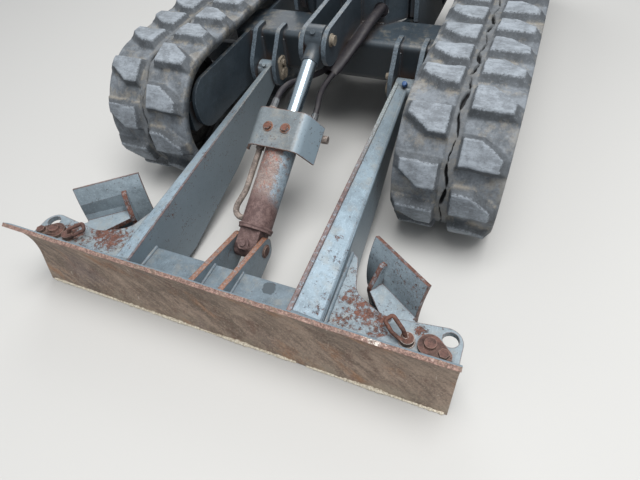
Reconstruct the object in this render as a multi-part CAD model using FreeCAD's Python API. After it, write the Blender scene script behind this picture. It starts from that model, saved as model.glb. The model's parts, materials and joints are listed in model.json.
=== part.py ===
"""Tracked undercarriage of a mini excavator, with its dozer blade.

The blade hangs on two box arms that pivot on lugs of the front guide box, and one
cylinder lifts it. Both crawlers slide out on beams in the guide boxes, and a wing
folds out at each end of the blade. Front is -Y, the machine's left is +X.

Sizes are in millimetres. Heights are above the ground, and lengths are counted
along Y from the bottom edge of the blade. The last step moves the whole so that
the origin lies on the ground under the middle of the footprint.
"""
import FreeCAD, Part
import math
import os

Vector = FreeCAD.Vector

# Blade
BLADE_WIDTH = 990.0
BLADE_HEIGHT = 205.0
BLADE_PLATE = 9.0
CUTTING_EDGE_HEIGHT = 70.0
CUTTING_EDGE_PLATE = 11.0
EDGE_RAKE = 15.0            # how far the cutting edge leans back over its height
TOP_OVERHANG = 12.0         # how far the blade's top stands ahead of its bottom edge
BLADE_HOLLOW = 16.0         # depth of the curve above the cutting edge

# Plates behind the blade
LUG_TOP = 140.0
LUG_PLATE = 12.0
LOWER_LUG_TOP = 52.0
LUG_END_GAP = 3.0
LUG_REAR_Y = 103.0
LUG_CORNER_R = 30.0
LUG_TIP_Y = 212.0
LUG_WAIST_Y = 84.0
LUG_INNER = 20.0            # where the lug plates start, counted from the arm's inner web
BACK_BOX_REAR = 92.0
BACK_BOX_ROUND = 4.0
BACK_BOX_FOOT = 26.0

# Wings
WING_PIN_INSET = 58.0       # from the blade's end to the pin
WING_PIN_Y = 50.0
WING_PIN_R = 11.0
WING_EYE_R = 20.0
WING_HOLE_GAP = 0.3
WING_SWING = 143.0
WING_LEAN = 2.8             # play of the lock pin: the left wing folds further, the right one less
WING_WIDTH = 150.0
WING_GAP = 8.0
WING_PLATE = 9.0
WING_OVERHANG = 6.0
WING_HOLLOW = 9.0
WING_HINGE_PLATE = 11.0
WING_HINGE_GAP = 1.0
WING_RIB_SHARE = 0.66       # where the wing's rib stands, as a share of its width
WING_RIB = 11.0
WING_RIB_TOP = 178.0
WING_RIB_LOW = 14.0
WING_RIB_REACH = 56.0
LOCK_CIRCLE_R = 41.0
LOCK_HOLE_R = 15.0
LOCK_EYE_R = 22.0
LOCK_PIN_R = 13.0
LOCK_STOWED_DEG = 183.0
RETAINER_R = 22.0
RETAINER_TAIL_R = 15.0
RETAINER_BOLT = (26.0, -13.0)
RETAINER_PLATE = 8.0

# Arms
ARM_PIVOT_Y = 725.0
ARM_PIVOT_Z = 210.0
ARM_INNER_X = 184.0
ARM_FRONT_WIDTH = 61.0
ARM_REAR_WIDTH = 25.0
ARM_TOP_Z = 174.0
ARM_TOP_RISE = 0.088        # rise of the top flange for each millimetre back
ARM_TOP_FALL = 0.42         # fall of the top flange for each millimetre outwards
ARM_FOLD_R = 11.0
ARM_LIP = 5.0
ARM_WEB = 8.0
ARM_WEB_RISE = 4.0          # how far the inner web stands above the flange
ARM_FOOT_Z = 22.0
ARM_BEND_Y = 190.0
ARM_KNEE_Y = 440.0
ARM_KNEE_Z = 83.0
ARM_NECK_Z = 178.0
ARM_END_GAP = 22.0          # the box ends this far ahead of the pivot, where the boss begins
ARM_BOSS_R = 28.0
ARM_BOSS_OUT = 17.0
ARM_PIN_R = 15.0
PIN_CLEARANCE = 0.05
SIDE_PLAY = 3.0
NIPPLE_R = 5.0
NIPPLE_REACH = 9.0

# Lugs for the arms on the front guide box
ARM_LUG_PLATE = 12.0
ARM_LUG_RISE = 10.0
ARM_LUG_AHEAD = 14.0
ARM_LUG_REACH_BACK = 34.0
ARM_LUG_CORNER_R = 22.0
ARM_LUG_ROUND_R = 37.0
FLAG_PLATE = 6.0
FLAG_BOLT_RISE = 32.0
FLAG_BOLT_R = 8.0

# Lift cylinder
LIFT_LOW_Y = 178.0
LIFT_LOW_Z = 106.0
LIFT_HIGH_Y = 637.0
LIFT_HIGH_Z = 368.0
LIFT_PIN_R = 12.0
PIN_RING = 2.0
PIN_RING_R = 15.5
BARREL_R = 36.0
BARREL_START = 44.0
BARREL_END = 318.0
BARREL_WALL = 7.0
BARREL_SEAM = 2.5
HEAD_R = 40.0
HEAD_LENGTH = 42.0
LIFT_EYE_R = 25.0
LIFT_EYE_WIDTH = 50.0
PORT_R = 13.0
PORT_RISE = 38.0
PORT_PLUG_R = 8.0
ROD_R = 18.0
ROD_INSERT = 165.0
PISTON_LENGTH = 26.0
ROD_EYE_R = 32.0
ROD_EYE_DRIFT = 12.0        # play round the upper pin, where the linkage is opened
ROD_EYE_WIDTH = 42.0
ROD_EYE_NECK_R = 20.0
ROD_EYE_WALL = 6.0
ROD_EYE_NECK = 34.0
BRACKET_PLATE = 12.0
BRACKET_GAP = 56.0
BRACKET_TOP_Z = 172.0
BRACKET_REAR_R = 30.0
GUARD_START = 222.0
GUARD_END = 315.0
GUARD_TOP = 50.0
GUARD_HALF_TOP = 58.0
GUARD_OUT = 82.0
GUARD_RIGHT_FALL = 38.0
GUARD_LEFT_FALL = 66.0
GUARD_LIP = 9.0
GUARD_BEND_R = 24.0
GUARD_PLATE = 5.0
GUARD_PAD_HALF = 34.0
GUARD_BOLTS = ((-25.0, 269.0), (17.0, 271.0))
GUARD_BOLT_R = 9.0
GUARD_BOLT_HEAD = 6.0
PIPE_R = 7.0
PIPE_OFFSET = 12.0
PIPE_BOW = 10.0
PIPE_UP = 11.0
PIPE_BEND_R = 19.0
PIPE_PORT = 60.0
PIPE_NUT_R = 10.0
FITTING_END = 326.0
FITTING_R = 9.5
FITTING_X = 44.0
FITTING_DROP = 30.0
FITTING_PORT_OUT = 92.0

# Lift lugs on the frame
LIFT_LUG_PLATE = 12.0
LIFT_LUG_GAP = 46.0
LIFT_LUG_R = 46.0
LIFT_LUG_BACK = 6.0         # from the pin to the middle of the lug's round end
LIFT_LUG_DROP = 18.0

# Guide boxes and centre frame
GUIDE_FRONT_Y = 760.0
GUIDE_LENGTH = 140.0
GUIDE_HEIGHT = 112.0
GUIDE_TOP = 312.0
GUIDE_WALL = 12.0
GUIDE_HALF_WIDTH = 256.0
GUIDE_ROUND = 18.0
REAR_GUIDE_SPACING = 600.0
FRAME_HALF_WIDTH = 183.0
FRAME_PLATE = 12.0
FRAME_FRONT_Y = 860.0
FRAME_FLAT_HALF = 105.0
FRAME_BENT_HALF = 152.0
FRAME_BENT_BACK = 54.0
FRAME_SIDE_BACK = 32.0
FRAME_BEND_R = 16.0
FRAME_TOP = 400.0
HOSE_HOLE_X = 89.0
HOSE_HOLE_Z = 349.0
HOSE_HOLE_R = 20.0

# Slew ring and swivel joint
SLEW_PLATE = 12.0
SLEW_BASE_HOLE_R = 150.0
SLEW_SPLIT_R = 226.0
SLEW_OUTER_RACE = 36.0
SLEW_INNER_RACE = 30.0
SLEW_BOLT_OUT = 20.0
SLEW_RIM = 6.0
SLEW_PLAY = 0.5
SLEW_TEETH = 62
SLEW_TOOTH_DEPTH = 9.0
SLEW_INNER_HEIGHT = 38.0
SLEW_OUTER_LIFT = 5.0
SLEW_OUTER_HEIGHT = 40.0
SLEW_BOLTS = 20
SLEW_BOLT_HOLE_R = 6.5
SWIVEL_R = 56.0
SWIVEL_BASE_Z = 250.0
SWIVEL_CAP = 30.0
SWIVEL_TOP_Z = 446.0
SWIVEL_PORT_Z = (352.0, 331.0)
SWIVEL_PORT_REACH = 88.0
SWIVEL_PORT_TURN = -55.7

# Hoses of the lift cylinder, point by point from the swivel joint's fitting
HOSE_R = 7.0
LEFT_HOSE = [(91, 985, 354), (98, 932, 357), (95, 882, 357), (88, 832, 353), (80, 785, 343),
             (72, 742, 328), (60, 703, 311), (48, 668, 295), (35, 628, 282), (29, 585, 275),
             (34, 543, 272)]
RIGHT_HOSE = [(80, 986, 337), (85, 933, 342), (84, 886, 343), (77, 840, 340), (68, 795, 333),
              (57, 752, 319), (43, 713, 301), (27, 677, 288), (10, 643, 284), (-8, 607, 286),
              (-26, 570, 293), (-40, 532, 303)]
HOSE_END_RUN = 36.0         # the first and last run of a hose lie in line with its fittings
HOSE_START_RUN = 43.0

# Crawlers
GAUGE = 760.0               # from the middle of one track to the middle of the other
TRACK_WIDTH = 230.0
TRACK_PITCH = 96.0
TRACK_LINKS = 35
SPROCKET_TEETH = 10
IDLER_Y = 545.0
AXLE_Z = 190.0
BELT_OUTER_R = 168.0
BELT_INNER_R = 147.0
LUG_WIDE = 58.0
LUG_NARROW = 26.0
LUG_START = 18.0
LUG_EDGE_INSET = 16.0
LUG_KNEE = 0.45             # where the lug starts to narrow, as a share of its span
LUG_DRAFT = 9.0
LUG_ROOT = 3.0              # how deep a lug's foot is sunk in the belt
HORN_IN = 20.0
HORN_OUT = 34.0
HORN_HALF = 18.0
HORN_HEIGHT = 22.0
HORN_DRAFT = 3.0
WHEEL_GAP = 3.0
IDLER_R = 144.0
IDLER_RIM = 18.0
IDLER_WEB = 16.0
IDLER_HUB_R = 46.0
IDLER_AXLE_R = 16.0
IDLER_HUB_WIDTH = 100.0
ROLLER_R = 46.0
ROLLER_NECK_R = 20.0
ROLLER_AXLE_R = 12.0
ROLLER_RIM = 16.0
ROLLER_COUNT = 4
ROLLER_FIRST = 205.0
ROLLER_SPACING = 262.0
CARRIER_R = 32.0
CARRIER_NECK_R = 9.0
SPROCKET_PLATE = 26.0
SPROCKET_ROOT = 22.0
SPROCKET_TIP = 3.0
MOTOR_R = 92.0
MOTOR_COVER = 34.0
MOTOR_BODY = 44.0
BEAM_PLAY = 0.3
BEAM_WALL = 12.0
BEAM_MIDDLE_GAP = 12.0
PANEL_REACH = 310.0
PANEL_REAR = 40.0
PANEL_LOW = 165.0
PANEL_CORNER_R = 60.0
SIDE_BOX_HALF = 70.0
SIDE_BOX_LOW = 152.0
SIDE_BOX_TOP = 262.0
SIDE_BOX_FALL = 34.0
SIDE_SKIRT_LOW = 78.0
SIDE_PLATE = 10.0
SIDE_FRONT = 160.0
SIDE_REAR = 152.0
INNER_PANEL_X = 268.0
YOKE_PLATE = 36.0
YOKE_GAP = 4.0
YOKE_REACH = 101.0
YOKE_LOW = 173.0
YOKE_TOP = 256.0
YOKE_FALL = 16.0

# Gauge cylinder
GAUGE_ROD_R = 14.0
GAUGE_BARREL_R = 30.0
GAUGE_BARREL_END = 130.0
GAUGE_BACK = 110.0
GAUGE_Z = 245.0
GAUGE_FOOT = 40.0

# Worked out from the sizes above
WING_PIN_X = BLADE_WIDTH / 2 - WING_PIN_INSET
LIFT_LENGTH = math.hypot(LIFT_HIGH_Y - LIFT_LOW_Y, LIFT_HIGH_Z - LIFT_LOW_Z)
ROD_EYE_BORE_R = LIFT_PIN_R + ROD_EYE_DRIFT
LIFT_ANGLE = math.degrees(math.atan2(LIFT_HIGH_Z - LIFT_LOW_Z, LIFT_HIGH_Y - LIFT_LOW_Y))
WHEELBASE = TRACK_PITCH * (TRACK_LINKS - SPROCKET_TEETH) / 2
SPROCKET_Y = IDLER_Y + WHEELBASE
SLEW_Y = IDLER_Y + WHEELBASE / 2
REAR_GUIDE_Y = GUIDE_FRONT_Y + REAR_GUIDE_SPACING
GUIDE_LOW = GUIDE_TOP - GUIDE_HEIGHT
SLEW_PLATE_TOP = FRAME_TOP + SLEW_PLATE
SLEW_OUTER_R = SLEW_SPLIT_R + SLEW_OUTER_RACE
SLEW_INNER_R = SLEW_SPLIT_R - SLEW_INNER_RACE
SLEW_BOLT_CIRCLE_R = SLEW_SPLIT_R + SLEW_BOLT_OUT
SLEW_PLATE_R = SLEW_OUTER_R + SLEW_RIM
IDLER_WIDTH = 2 * (HORN_IN - WHEEL_GAP)
ROLLER_IN = HORN_OUT + WHEEL_GAP + 1
ORIGIN_Y = (SPROCKET_Y + AXLE_Z - TOP_OVERHANG) / 2
FAR = 2000.0
TOUCH = 1e-6
BLADE_FORM = (BLADE_HOLLOW, TOP_OVERHANG)
WING_FORM = (WING_HOLLOW, WING_OVERHANG)


# Helpers

def box(x0, x1, y0, y1, z0, z1):
    """Block between two corners."""
    return Part.makeBox(x1 - x0, y1 - y0, z1 - z0, Vector(x0, y0, z0))


def cylinder_x(x0, x1, y, z, r):
    """Round bar along X."""
    return Part.makeCylinder(r, x1 - x0, Vector(x0, y, z), Vector(1, 0, 0))


def cylinder_z(x, y, z0, z1, r):
    """Round bar along Z."""
    return Part.makeCylinder(r, z1 - z0, Vector(x, y, z0), Vector(0, 0, 1))


def outline(points):
    """Closed wire in the XY plane through corners (u, v, corner radius)."""
    turns = []
    for i, (u, v, r) in enumerate(points):
        here = Vector(u, v, 0)
        to_last = Vector(*points[i - 1][:2], 0) - here
        to_next = Vector(*points[(i + 1) % len(points)][:2], 0) - here
        to_last.normalize()
        to_next.normalize()
        half = to_last.getAngle(to_next) / 2
        if not r:
            turns.append((here, None, here))
            continue
        inward = to_last + to_next
        inward.normalize()
        trim = r / math.tan(half)
        middle = here + inward * (r / math.sin(half) - r)
        turns.append((here + to_last * trim, middle, here + to_next * trim))
    edges = []
    for i, (start, middle, end) in enumerate(turns):
        if middle:
            edges.append(Part.Arc(start, middle, end).toShape())
        follows = turns[(i + 1) % len(turns)][0]
        if (follows - end).Length > TOUCH:
            edges.append(Part.makeLine(end, follows))
    return Part.Wire(edges)


def plate_xy(points, z0, z1):
    """Flat plate with its outline in X and Y."""
    face = Part.Face(outline(points))
    face.translate(Vector(0, 0, z0))
    return face.extrude(Vector(0, 0, z1 - z0))


def plate_yz(points, x0, x1):
    """Upright plate with its outline in Y and Z."""
    face = Part.Face(outline(points))
    face.rotate(Vector(0, 0, 0), Vector(1, 1, 1), 120)
    face.translate(Vector(x0, 0, 0))
    return face.extrude(Vector(x1 - x0, 0, 0))


def plate_xz(points, y0, y1):
    """Upright plate with its outline in X and Z."""
    face = Part.Face(outline(points))
    face.rotate(Vector(0, 0, 0), Vector(1, 0, 0), 90)
    face.translate(Vector(0, y0, 0))
    return face.extrude(Vector(0, y1 - y0, 0))


def square(points):
    """The same corners with no rounding."""
    return [(u, v, 0) for u, v in points]


def hexagon(x, y, z0, z1, r):
    """Six-sided bolt head standing along Z, with its corners at a radius."""
    turns = [math.radians(a) for a in range(0, 360, 60)]
    return plate_xy(square([(x + r * math.cos(a), y + r * math.sin(a)) for a in turns]), z0, z1)


def bent_sheet(line, plate):
    """Corners of a sheet bent along a line (u, v, radius), its thickness to the right of the line."""
    ahead = []
    for a, b in zip(line, line[1:]):
        run = Vector(b[0] - a[0], b[1] - a[1], 0)
        run.normalize()
        ahead.append(run)
    right = [Vector(run.y, -run.x, 0) for run in ahead]
    back = [(line[0][0] + right[0].x * plate, line[0][1] + right[0].y * plate, 0)]
    for i, (u, v, r) in enumerate(line[1:-1]):
        both = (right[i] + right[i + 1]) * (plate / (1 + right[i].dot(right[i + 1])))
        inside = ahead[i].x * ahead[i + 1].y - ahead[i].y * ahead[i + 1].x < 0
        back.append((u + both.x, v + both.y, max(r + (-plate if inside else plate), 0) if r else 0))
    back.append((line[-1][0] + right[-1].x * plate, line[-1][1] + right[-1].y * plate, 0))
    return list(line) + back[::-1]


def bent_bar(points, bends, r):
    """Round bar along straight runs joined by tangent arcs, one radius for each inner point."""
    points = [Vector(*p) for p in points]
    start = points[0]
    edges = []
    for last, here, after, bend in zip(points, points[1:], points[2:], bends):
        to_last, to_next = last - here, after - here
        to_last.normalize()
        to_next.normalize()
        half = to_last.getAngle(to_next) / 2
        inward = to_last + to_next
        inward.normalize()
        trim = bend / math.tan(half)
        middle = here + inward * (bend / math.sin(half) - bend)
        edges.append(Part.LineSegment(start, here + to_last * trim).toShape())
        start = here + to_next * trim
        edges.append(Part.Arc(here + to_last * trim, middle, start).toShape())
    edges.append(Part.LineSegment(start, points[-1]).toShape())
    ring = Part.Wire(Part.makeCircle(r, points[0], points[1] - points[0]))
    return Part.Wire(edges).makePipeShell([ring], True, False)


def tangent(u, v, cu, cv, r, side):
    """Point where a line from (u, v) touches a circle, on its left (side 1) or right (side -1)."""
    far = math.hypot(u - cu, v - cv)
    turn = math.atan2(v - cv, u - cu) + side * math.acos(r / far)
    return cu + r * math.cos(turn), cv + r * math.sin(turn)


def mirrored(shape):
    """The same piece on the other side of the machine."""
    return shape.mirror(Vector(0, 0, 0), Vector(1, 0, 0))


def fused(shapes):
    """One solid from pieces that meet."""
    return shapes[0].multiFuse(shapes[1:]).removeSplitter()


def link_xy(x0, y0, r0, x1, y1, r1, z0, z1):
    """Flat link: two discs and the tangents that join them."""
    ahead = math.atan2(y1 - y0, x1 - x0)
    lean = math.acos((r0 - r1) / math.hypot(x1 - x0, y1 - y0))
    corners = [(x + r * math.cos(ahead + turn), y + r * math.sin(ahead + turn))
               for x, y, r, turn in ((x0, y0, r0, -lean), (x1, y1, r1, -lean), (x1, y1, r1, lean),
                                      (x0, y0, r0, lean))]
    ends = [cylinder_z(x0, y0, z0, z1, r0), cylinder_z(x1, y1, z0, z1, r1)]
    return fused([plate_xy(square(corners), z0, z1)] + ends)


def along_lift(shape):
    """Lays a piece built along +Y from the lower pin onto the lift cylinder's axis."""
    shape = shape.copy()
    shape.rotate(Vector(0, 0, 0), Vector(1, 0, 0), LIFT_ANGLE)
    shape.translate(Vector(0, LIFT_LOW_Y, LIFT_LOW_Z))
    return shape


def cylinder_y(x, z, y0, y1, r):
    """Round bar along Y."""
    return Part.makeCylinder(r, y1 - y0, Vector(x, y0, z), Vector(0, 1, 0))


# Blade

def blade_curve(form=BLADE_FORM):
    """Points of the front above the cutting edge, and the curve's centre, for a hollow and an overhang."""
    hollow, overhang = form
    low = Vector(EDGE_RAKE, CUTTING_EDGE_HEIGHT, 0)
    high = Vector(-overhang, BLADE_HEIGHT, 0)
    chord = high - low
    normal = Vector(chord.y, -chord.x, 0)
    normal.normalize()
    radius = (chord.Length ** 2 / 4 + hollow ** 2) / (2 * hollow)
    middle = (low + high) * 0.5 + normal * hollow
    return low, middle, high, middle - normal * radius


def grown(point, centre, by):
    """A point moved away from the curve's centre."""
    away = point - centre
    return centre + away * ((away.Length + by) / away.Length)


def curved_plate(thickness, form=BLADE_FORM):
    """Side profile of the curved plate, as a face in Y and Z."""
    low, middle, high, centre = blade_curve(form)
    back = [grown(p, centre, thickness) for p in (low, middle, high)]
    edges = [Part.Arc(low, middle, high).toShape(), Part.makeLine(high, back[2]),
             Part.Arc(back[2], back[1], back[0]).toShape(), Part.makeLine(back[0], low)]
    return Part.Face(Part.Wire(edges))


def upright(face, x0, x1):
    """Extrudes a Y and Z profile along X."""
    face = face.copy()
    face.rotate(Vector(0, 0, 0), Vector(1, 1, 1), 120)
    face.translate(Vector(x0, 0, 0))
    return face.extrude(Vector(x1 - x0, 0, 0))


def edge_profile(thickness, form=BLADE_FORM):
    """Side profile of the cutting edge: a bar ground flat at the bottom."""
    low, middle, high, centre = blade_curve(form)
    back = grown(low, centre, thickness)
    run = (back.y / CUTTING_EDGE_HEIGHT) * EDGE_RAKE
    return square([(0, 0), (back.x - run, 0), (back.x, back.y), (low.x, low.y)])


def blade_space(plate=BLADE_PLATE, edge_plate=CUTTING_EDGE_PLATE, form=BLADE_FORM):
    """Everything at and ahead of the blade's back, which the plates behind it stop at."""
    low, middle, high, centre = blade_curve(form)
    thick = [grown(p, centre, plate) for p in (low, middle, high)]
    foot = grown(low, centre, edge_plate)
    run = (foot.y / CUTTING_EDGE_HEIGHT) * EDGE_RAKE
    corners = [thick[2], Vector(thick[2].x, FAR, 0), Vector(-FAR, FAR, 0), Vector(-FAR, -FAR, 0),
               Vector(foot.x - run, -FAR, 0), Vector(foot.x - run, 0, 0), foot, thick[0]]
    edges = [Part.Arc(thick[0], thick[1], thick[2]).toShape()]
    edges += [Part.makeLine(a, b) for a, b in zip(corners, corners[1:]) if (b - a).Length > TOUCH]
    return upright(Part.Face(Part.Wire(edges)), -FAR / 2, FAR / 2)


def blade_pieces():
    """The curved plate and the cutting edge under it."""
    half = BLADE_WIDTH / 2
    return {"moldboard": upright(curved_plate(BLADE_PLATE), -half, half),
            "cutting_edge": plate_yz(edge_profile(CUTTING_EDGE_PLATE), -half, half)}


def arm_left():
    """Box arm: a cover plate folded down outside, and an inner web that stands a little above it."""
    end = ARM_PIVOT_Y - ARM_END_GAP
    inner = ARM_INNER_X
    profile = square([(0, ARM_FOOT_Z), (ARM_BEND_Y, ARM_FOOT_Z), (ARM_KNEE_Y, ARM_KNEE_Z), (end, ARM_NECK_Z),
                      (end, BLADE_HEIGHT * 2), (0, BLADE_HEIGHT * 2)])

    def above(drop):
        """Wedge of space above the sloping flange."""
        reach = ARM_FRONT_WIDTH * 3
        wide = reach * ARM_TOP_FALL
        face = Part.Face(outline(square([(inner - reach, wide), (inner + reach, -wide), (inner + reach, FAR),
                                         (inner - reach, FAR)])))
        face.rotate(Vector(0, 0, 0), Vector(1, 0, 0), 90)
        face.translate(Vector(0, 0, ARM_TOP_Z - drop))
        return face.extrude(Vector(0, FAR, FAR * ARM_TOP_RISE))

    plan = square([(inner, 0), (inner, ARM_PIVOT_Y), (inner + ARM_REAR_WIDTH, ARM_PIVOT_Y),
                   (inner + ARM_FRONT_WIDTH, 0)])
    cover = plate_xy(plan, 0, BLADE_HEIGHT * 2).common(plate_yz(profile, 0, FAR)).cut(above(0))
    long_edges = [e for e in cover.Edges if e.Length > end * 0.75]
    fold = max(long_edges, key=lambda e: e.CenterOfMass.x + e.CenterOfMass.z)
    cover = cover.makeFillet(ARM_FOLD_R, [fold])
    web = plate_yz(profile, inner - ARM_LIP, inner - ARM_LIP + ARM_WEB).cut(above(-ARM_WEB_RISE))
    boss = cylinder_x(inner - ARM_LIP - SIDE_PLAY, inner + ARM_REAR_WIDTH + ARM_BOSS_OUT,
                      ARM_PIVOT_Y, ARM_PIVOT_Z, ARM_BOSS_R)
    middle = Vector(inner + ARM_REAR_WIDTH - 5, ARM_PIVOT_Y, ARM_PIVOT_Z)
    nipple = Part.makeCylinder(NIPPLE_R, ARM_BOSS_R + NIPPLE_REACH, middle, Vector(0, -0.62, 0.78))
    bore = cylinder_x(0, FAR, ARM_PIVOT_Y, ARM_PIVOT_Z, ARM_PIN_R + PIN_CLEARANCE)
    return fused([cover, web, boss, nipple]).cut(bore).cut(blade_space())


def lug_outline():
    """Outline of the gusset plate that carries the wing's pin."""
    end = BLADE_WIDTH / 2 - LUG_END_GAP
    arm = ARM_INNER_X
    start = ARM_INNER_X + LUG_INNER
    edge = ARM_INNER_X + ARM_FRONT_WIDTH
    return [(start, 0, 0), (start, LUG_TIP_Y, 0), (edge - 7, LUG_TIP_Y, 0), (edge + 7, LUG_TIP_Y - 14, 8),
            (edge + 30, LUG_TIP_Y / 2 + LUG_PLATE, 45), (WING_PIN_X - LUG_WAIST_Y - 12, LUG_WAIST_Y, 70),
            (end, LUG_REAR_Y, LUG_CORNER_R), (end, 0, 0)]


def on_wing_circle(angle, radius=LOCK_CIRCLE_R):
    """Place at an angle from the left wing's pin."""
    turn = math.radians(angle)
    return WING_PIN_X + radius * math.cos(turn), WING_PIN_Y + radius * math.sin(turn)


def blade_lug_left(arm):
    """Upper gusset plate with its holes and the shorter plate under the wing's hinge."""
    upper = plate_xy(lug_outline(), LUG_TOP - LUG_PLATE, LUG_TOP)
    end = BLADE_WIDTH / 2 - LUG_END_GAP
    start = ARM_INNER_X + LUG_INNER
    low_tip = (LUG_TIP_Y + LUG_REAR_Y) / 2
    edge = ARM_INNER_X + ARM_FRONT_WIDTH
    lower = plate_xy([(start, 0, 0), (start, low_tip, 0), (edge, low_tip, 0),
                      (WING_PIN_X - LUG_TIP_Y / 2, LUG_WAIST_Y - 2, 60),
                      (end, LUG_REAR_Y - 8, LUG_CORNER_R), (end, 0, 0)],
                     LOWER_LUG_TOP - LUG_PLATE, LOWER_LUG_TOP)
    holes = [cylinder_z(WING_PIN_X, WING_PIN_Y, 0, FAR, WING_PIN_R + PIN_CLEARANCE)]
    for angle in (LOCK_STOWED_DEG, LOCK_STOWED_DEG - WING_SWING):
        holes.append(cylinder_z(*on_wing_circle(angle), 0, FAR, LOCK_HOLE_R))
    keep = blade_space().fuse(arm)
    plates = [p.cut(keep).cut(Part.makeCompound(holes)) for p in (upper, lower)]
    return Part.makeCompound([s for p in plates for s in p.Solids])


def back_box():
    """Bent plate between the arms that closes a box behind the blade."""
    half = ARM_INNER_X - ARM_LIP
    outer = [(0, LUG_TOP, 0), (BACK_BOX_REAR, LUG_TOP, BACK_BOX_ROUND), (BACK_BOX_FOOT, ARM_FOOT_Z, 0),
             (0, ARM_FOOT_Z, 0)]
    shape = plate_yz(outer, -half, half)
    return shape.cut(blade_space())


def lift_bracket():
    """Two plates on the blade that hold the lift cylinder's lower pin."""
    profile = [(0, BRACKET_TOP_Z, 0), (20, BRACKET_TOP_Z, 0),
               (LIFT_LOW_Y + BRACKET_REAR_R, LIFT_LOW_Z + BRACKET_REAR_R * 0.72, BRACKET_REAR_R * 0.8),
               (LIFT_LOW_Y + BRACKET_REAR_R * 0.8, LIFT_LOW_Z - BRACKET_REAR_R, BRACKET_REAR_R * 0.8),
               (BACK_BOX_FOOT, ARM_FOOT_Z, 0), (0, ARM_FOOT_Z, 0)]
    near = BRACKET_GAP / 2
    plate = plate_yz(profile, near, near + BRACKET_PLATE)
    plate = plate.cut(cylinder_x(0, FAR, LIFT_LOW_Y, LIFT_LOW_Z, LIFT_PIN_R + PIN_CLEARANCE))
    plate = plate.cut(blade_space().fuse(back_box()))
    return Part.makeCompound(plate.Solids + mirrored(plate).Solids)


def wing_unfolded_left():
    """Left wing in line with the blade: plate, cutting edge, two hinge plates and a rib."""
    start = BLADE_WIDTH / 2 + WING_GAP
    end = start + WING_WIDTH
    shell = upright(curved_plate(WING_PLATE, WING_FORM), start, end)
    edge = plate_yz(edge_profile(WING_PLATE, WING_FORM), start, end)
    lock_x, lock_y = on_wing_circle(LOCK_STOWED_DEG - WING_SWING)
    reach = start + WING_WIDTH * WING_RIB_SHARE
    web = square([(WING_PIN_X, WING_PIN_Y - WING_EYE_R), (reach, 0), (reach, WING_PIN_Y + 6),
                  (lock_x + 8, lock_y + LOCK_EYE_R - 2), (WING_PIN_X, WING_PIN_Y)])
    ahead = square([(0, -FAR), (start, -FAR), (start, WING_PIN_Y - WING_EYE_R), (0, WING_PIN_Y - WING_EYE_R)])
    plates = []
    for low in (LOWER_LUG_TOP + WING_HINGE_GAP, LUG_TOP - LUG_PLATE - WING_HINGE_GAP - WING_HINGE_PLATE):
        high = low + WING_HINGE_PLATE
        eye = link_xy(WING_PIN_X, WING_PIN_Y, WING_EYE_R, lock_x, lock_y, LOCK_EYE_R, low, high)
        plates.append(fused([eye, plate_xy(web, low, high)]).cut(plate_xy(ahead, low - 1, high + 1)))
    plates.append(plate_yz([(0, WING_RIB_TOP, 0), (24, WING_RIB_TOP, 6), (WING_RIB_REACH, LUG_TOP - 16, 30),
                            (WING_RIB_REACH - 14, WING_RIB_LOW, 6), (0, WING_RIB_LOW, 0)],
                           reach, reach + WING_RIB))
    plates = [p.cut(blade_space(WING_PLATE, WING_PLATE, WING_FORM)) for p in plates]
    bore = cylinder_z(WING_PIN_X, WING_PIN_Y, 0, FAR, WING_PIN_R + WING_HOLE_GAP)
    lock = cylinder_z(lock_x, lock_y, 0, FAR, LOCK_HOLE_R + WING_HOLE_GAP)
    return fused([shell, edge] + plates).cut(bore).cut(lock)


def wing_folded(turn):
    """Left wing folded back behind the lug by an angle, as it stands when parked."""
    wing = wing_unfolded_left()
    wing.rotate(Vector(WING_PIN_X, WING_PIN_Y, 0), Vector(0, 0, 1), turn)
    ahead = blade_space()
    ahead.translate(Vector(0, WING_HINGE_GAP, 0))
    return wing.cut(ahead)


def wing_pin_left():
    """Pivot pin with its figure of eight retainer and the retainer's bolt."""
    low = LOWER_LUG_TOP - LUG_PLATE - 6
    top = LUG_TOP + RETAINER_PLATE
    pin = cylinder_z(WING_PIN_X, WING_PIN_Y, low, top + 8, WING_PIN_R)
    bolt_x, bolt_y = WING_PIN_X + RETAINER_BOLT[0], WING_PIN_Y + RETAINER_BOLT[1]
    plate = link_xy(WING_PIN_X, WING_PIN_Y, RETAINER_R, bolt_x, bolt_y, RETAINER_TAIL_R, LUG_TOP, top)
    washer = cylinder_z(bolt_x, bolt_y, top, top + 2, RETAINER_TAIL_R * 0.8)
    bolt = hexagon(bolt_x, bolt_y, top + 2, top + 10, RETAINER_TAIL_R * 0.66)
    return fused([pin, plate, washer, bolt]).cut(blade_space())


def lock_pin_left():
    """Lock pin in the lug with a loop of bent rod as its handle."""
    x, y = on_wing_circle(LOCK_STOWED_DEG)
    shank = cylinder_z(x, y, LUG_TOP - LUG_PLATE / 2, LUG_TOP + 12, LOCK_PIN_R)
    foot = cylinder_z(x, y, LUG_TOP - LUG_PLATE, LUG_TOP, LOCK_HOLE_R - PIN_CLEARANCE)
    loop = [(0, 0, 6), (-10, 7, 24), (-34, 26, 30), (-46, 14, 24), (-28, -1, 17), (-6, -7, 7)]
    grip = bent_bar([(x + a, y + b, LUG_TOP + c) for a, b, c in loop], [5] * 4, 4)
    return fused([shank, foot, grip])


def blade_side_pieces():
    """Pieces of the left half of the blade, by name."""
    arm = arm_left()
    return {"arm": arm, "blade_lug": blade_lug_left(arm), "wing_pin": wing_pin_left(),
            "lock_pin": lock_pin_left()}


# Lift cylinder

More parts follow.
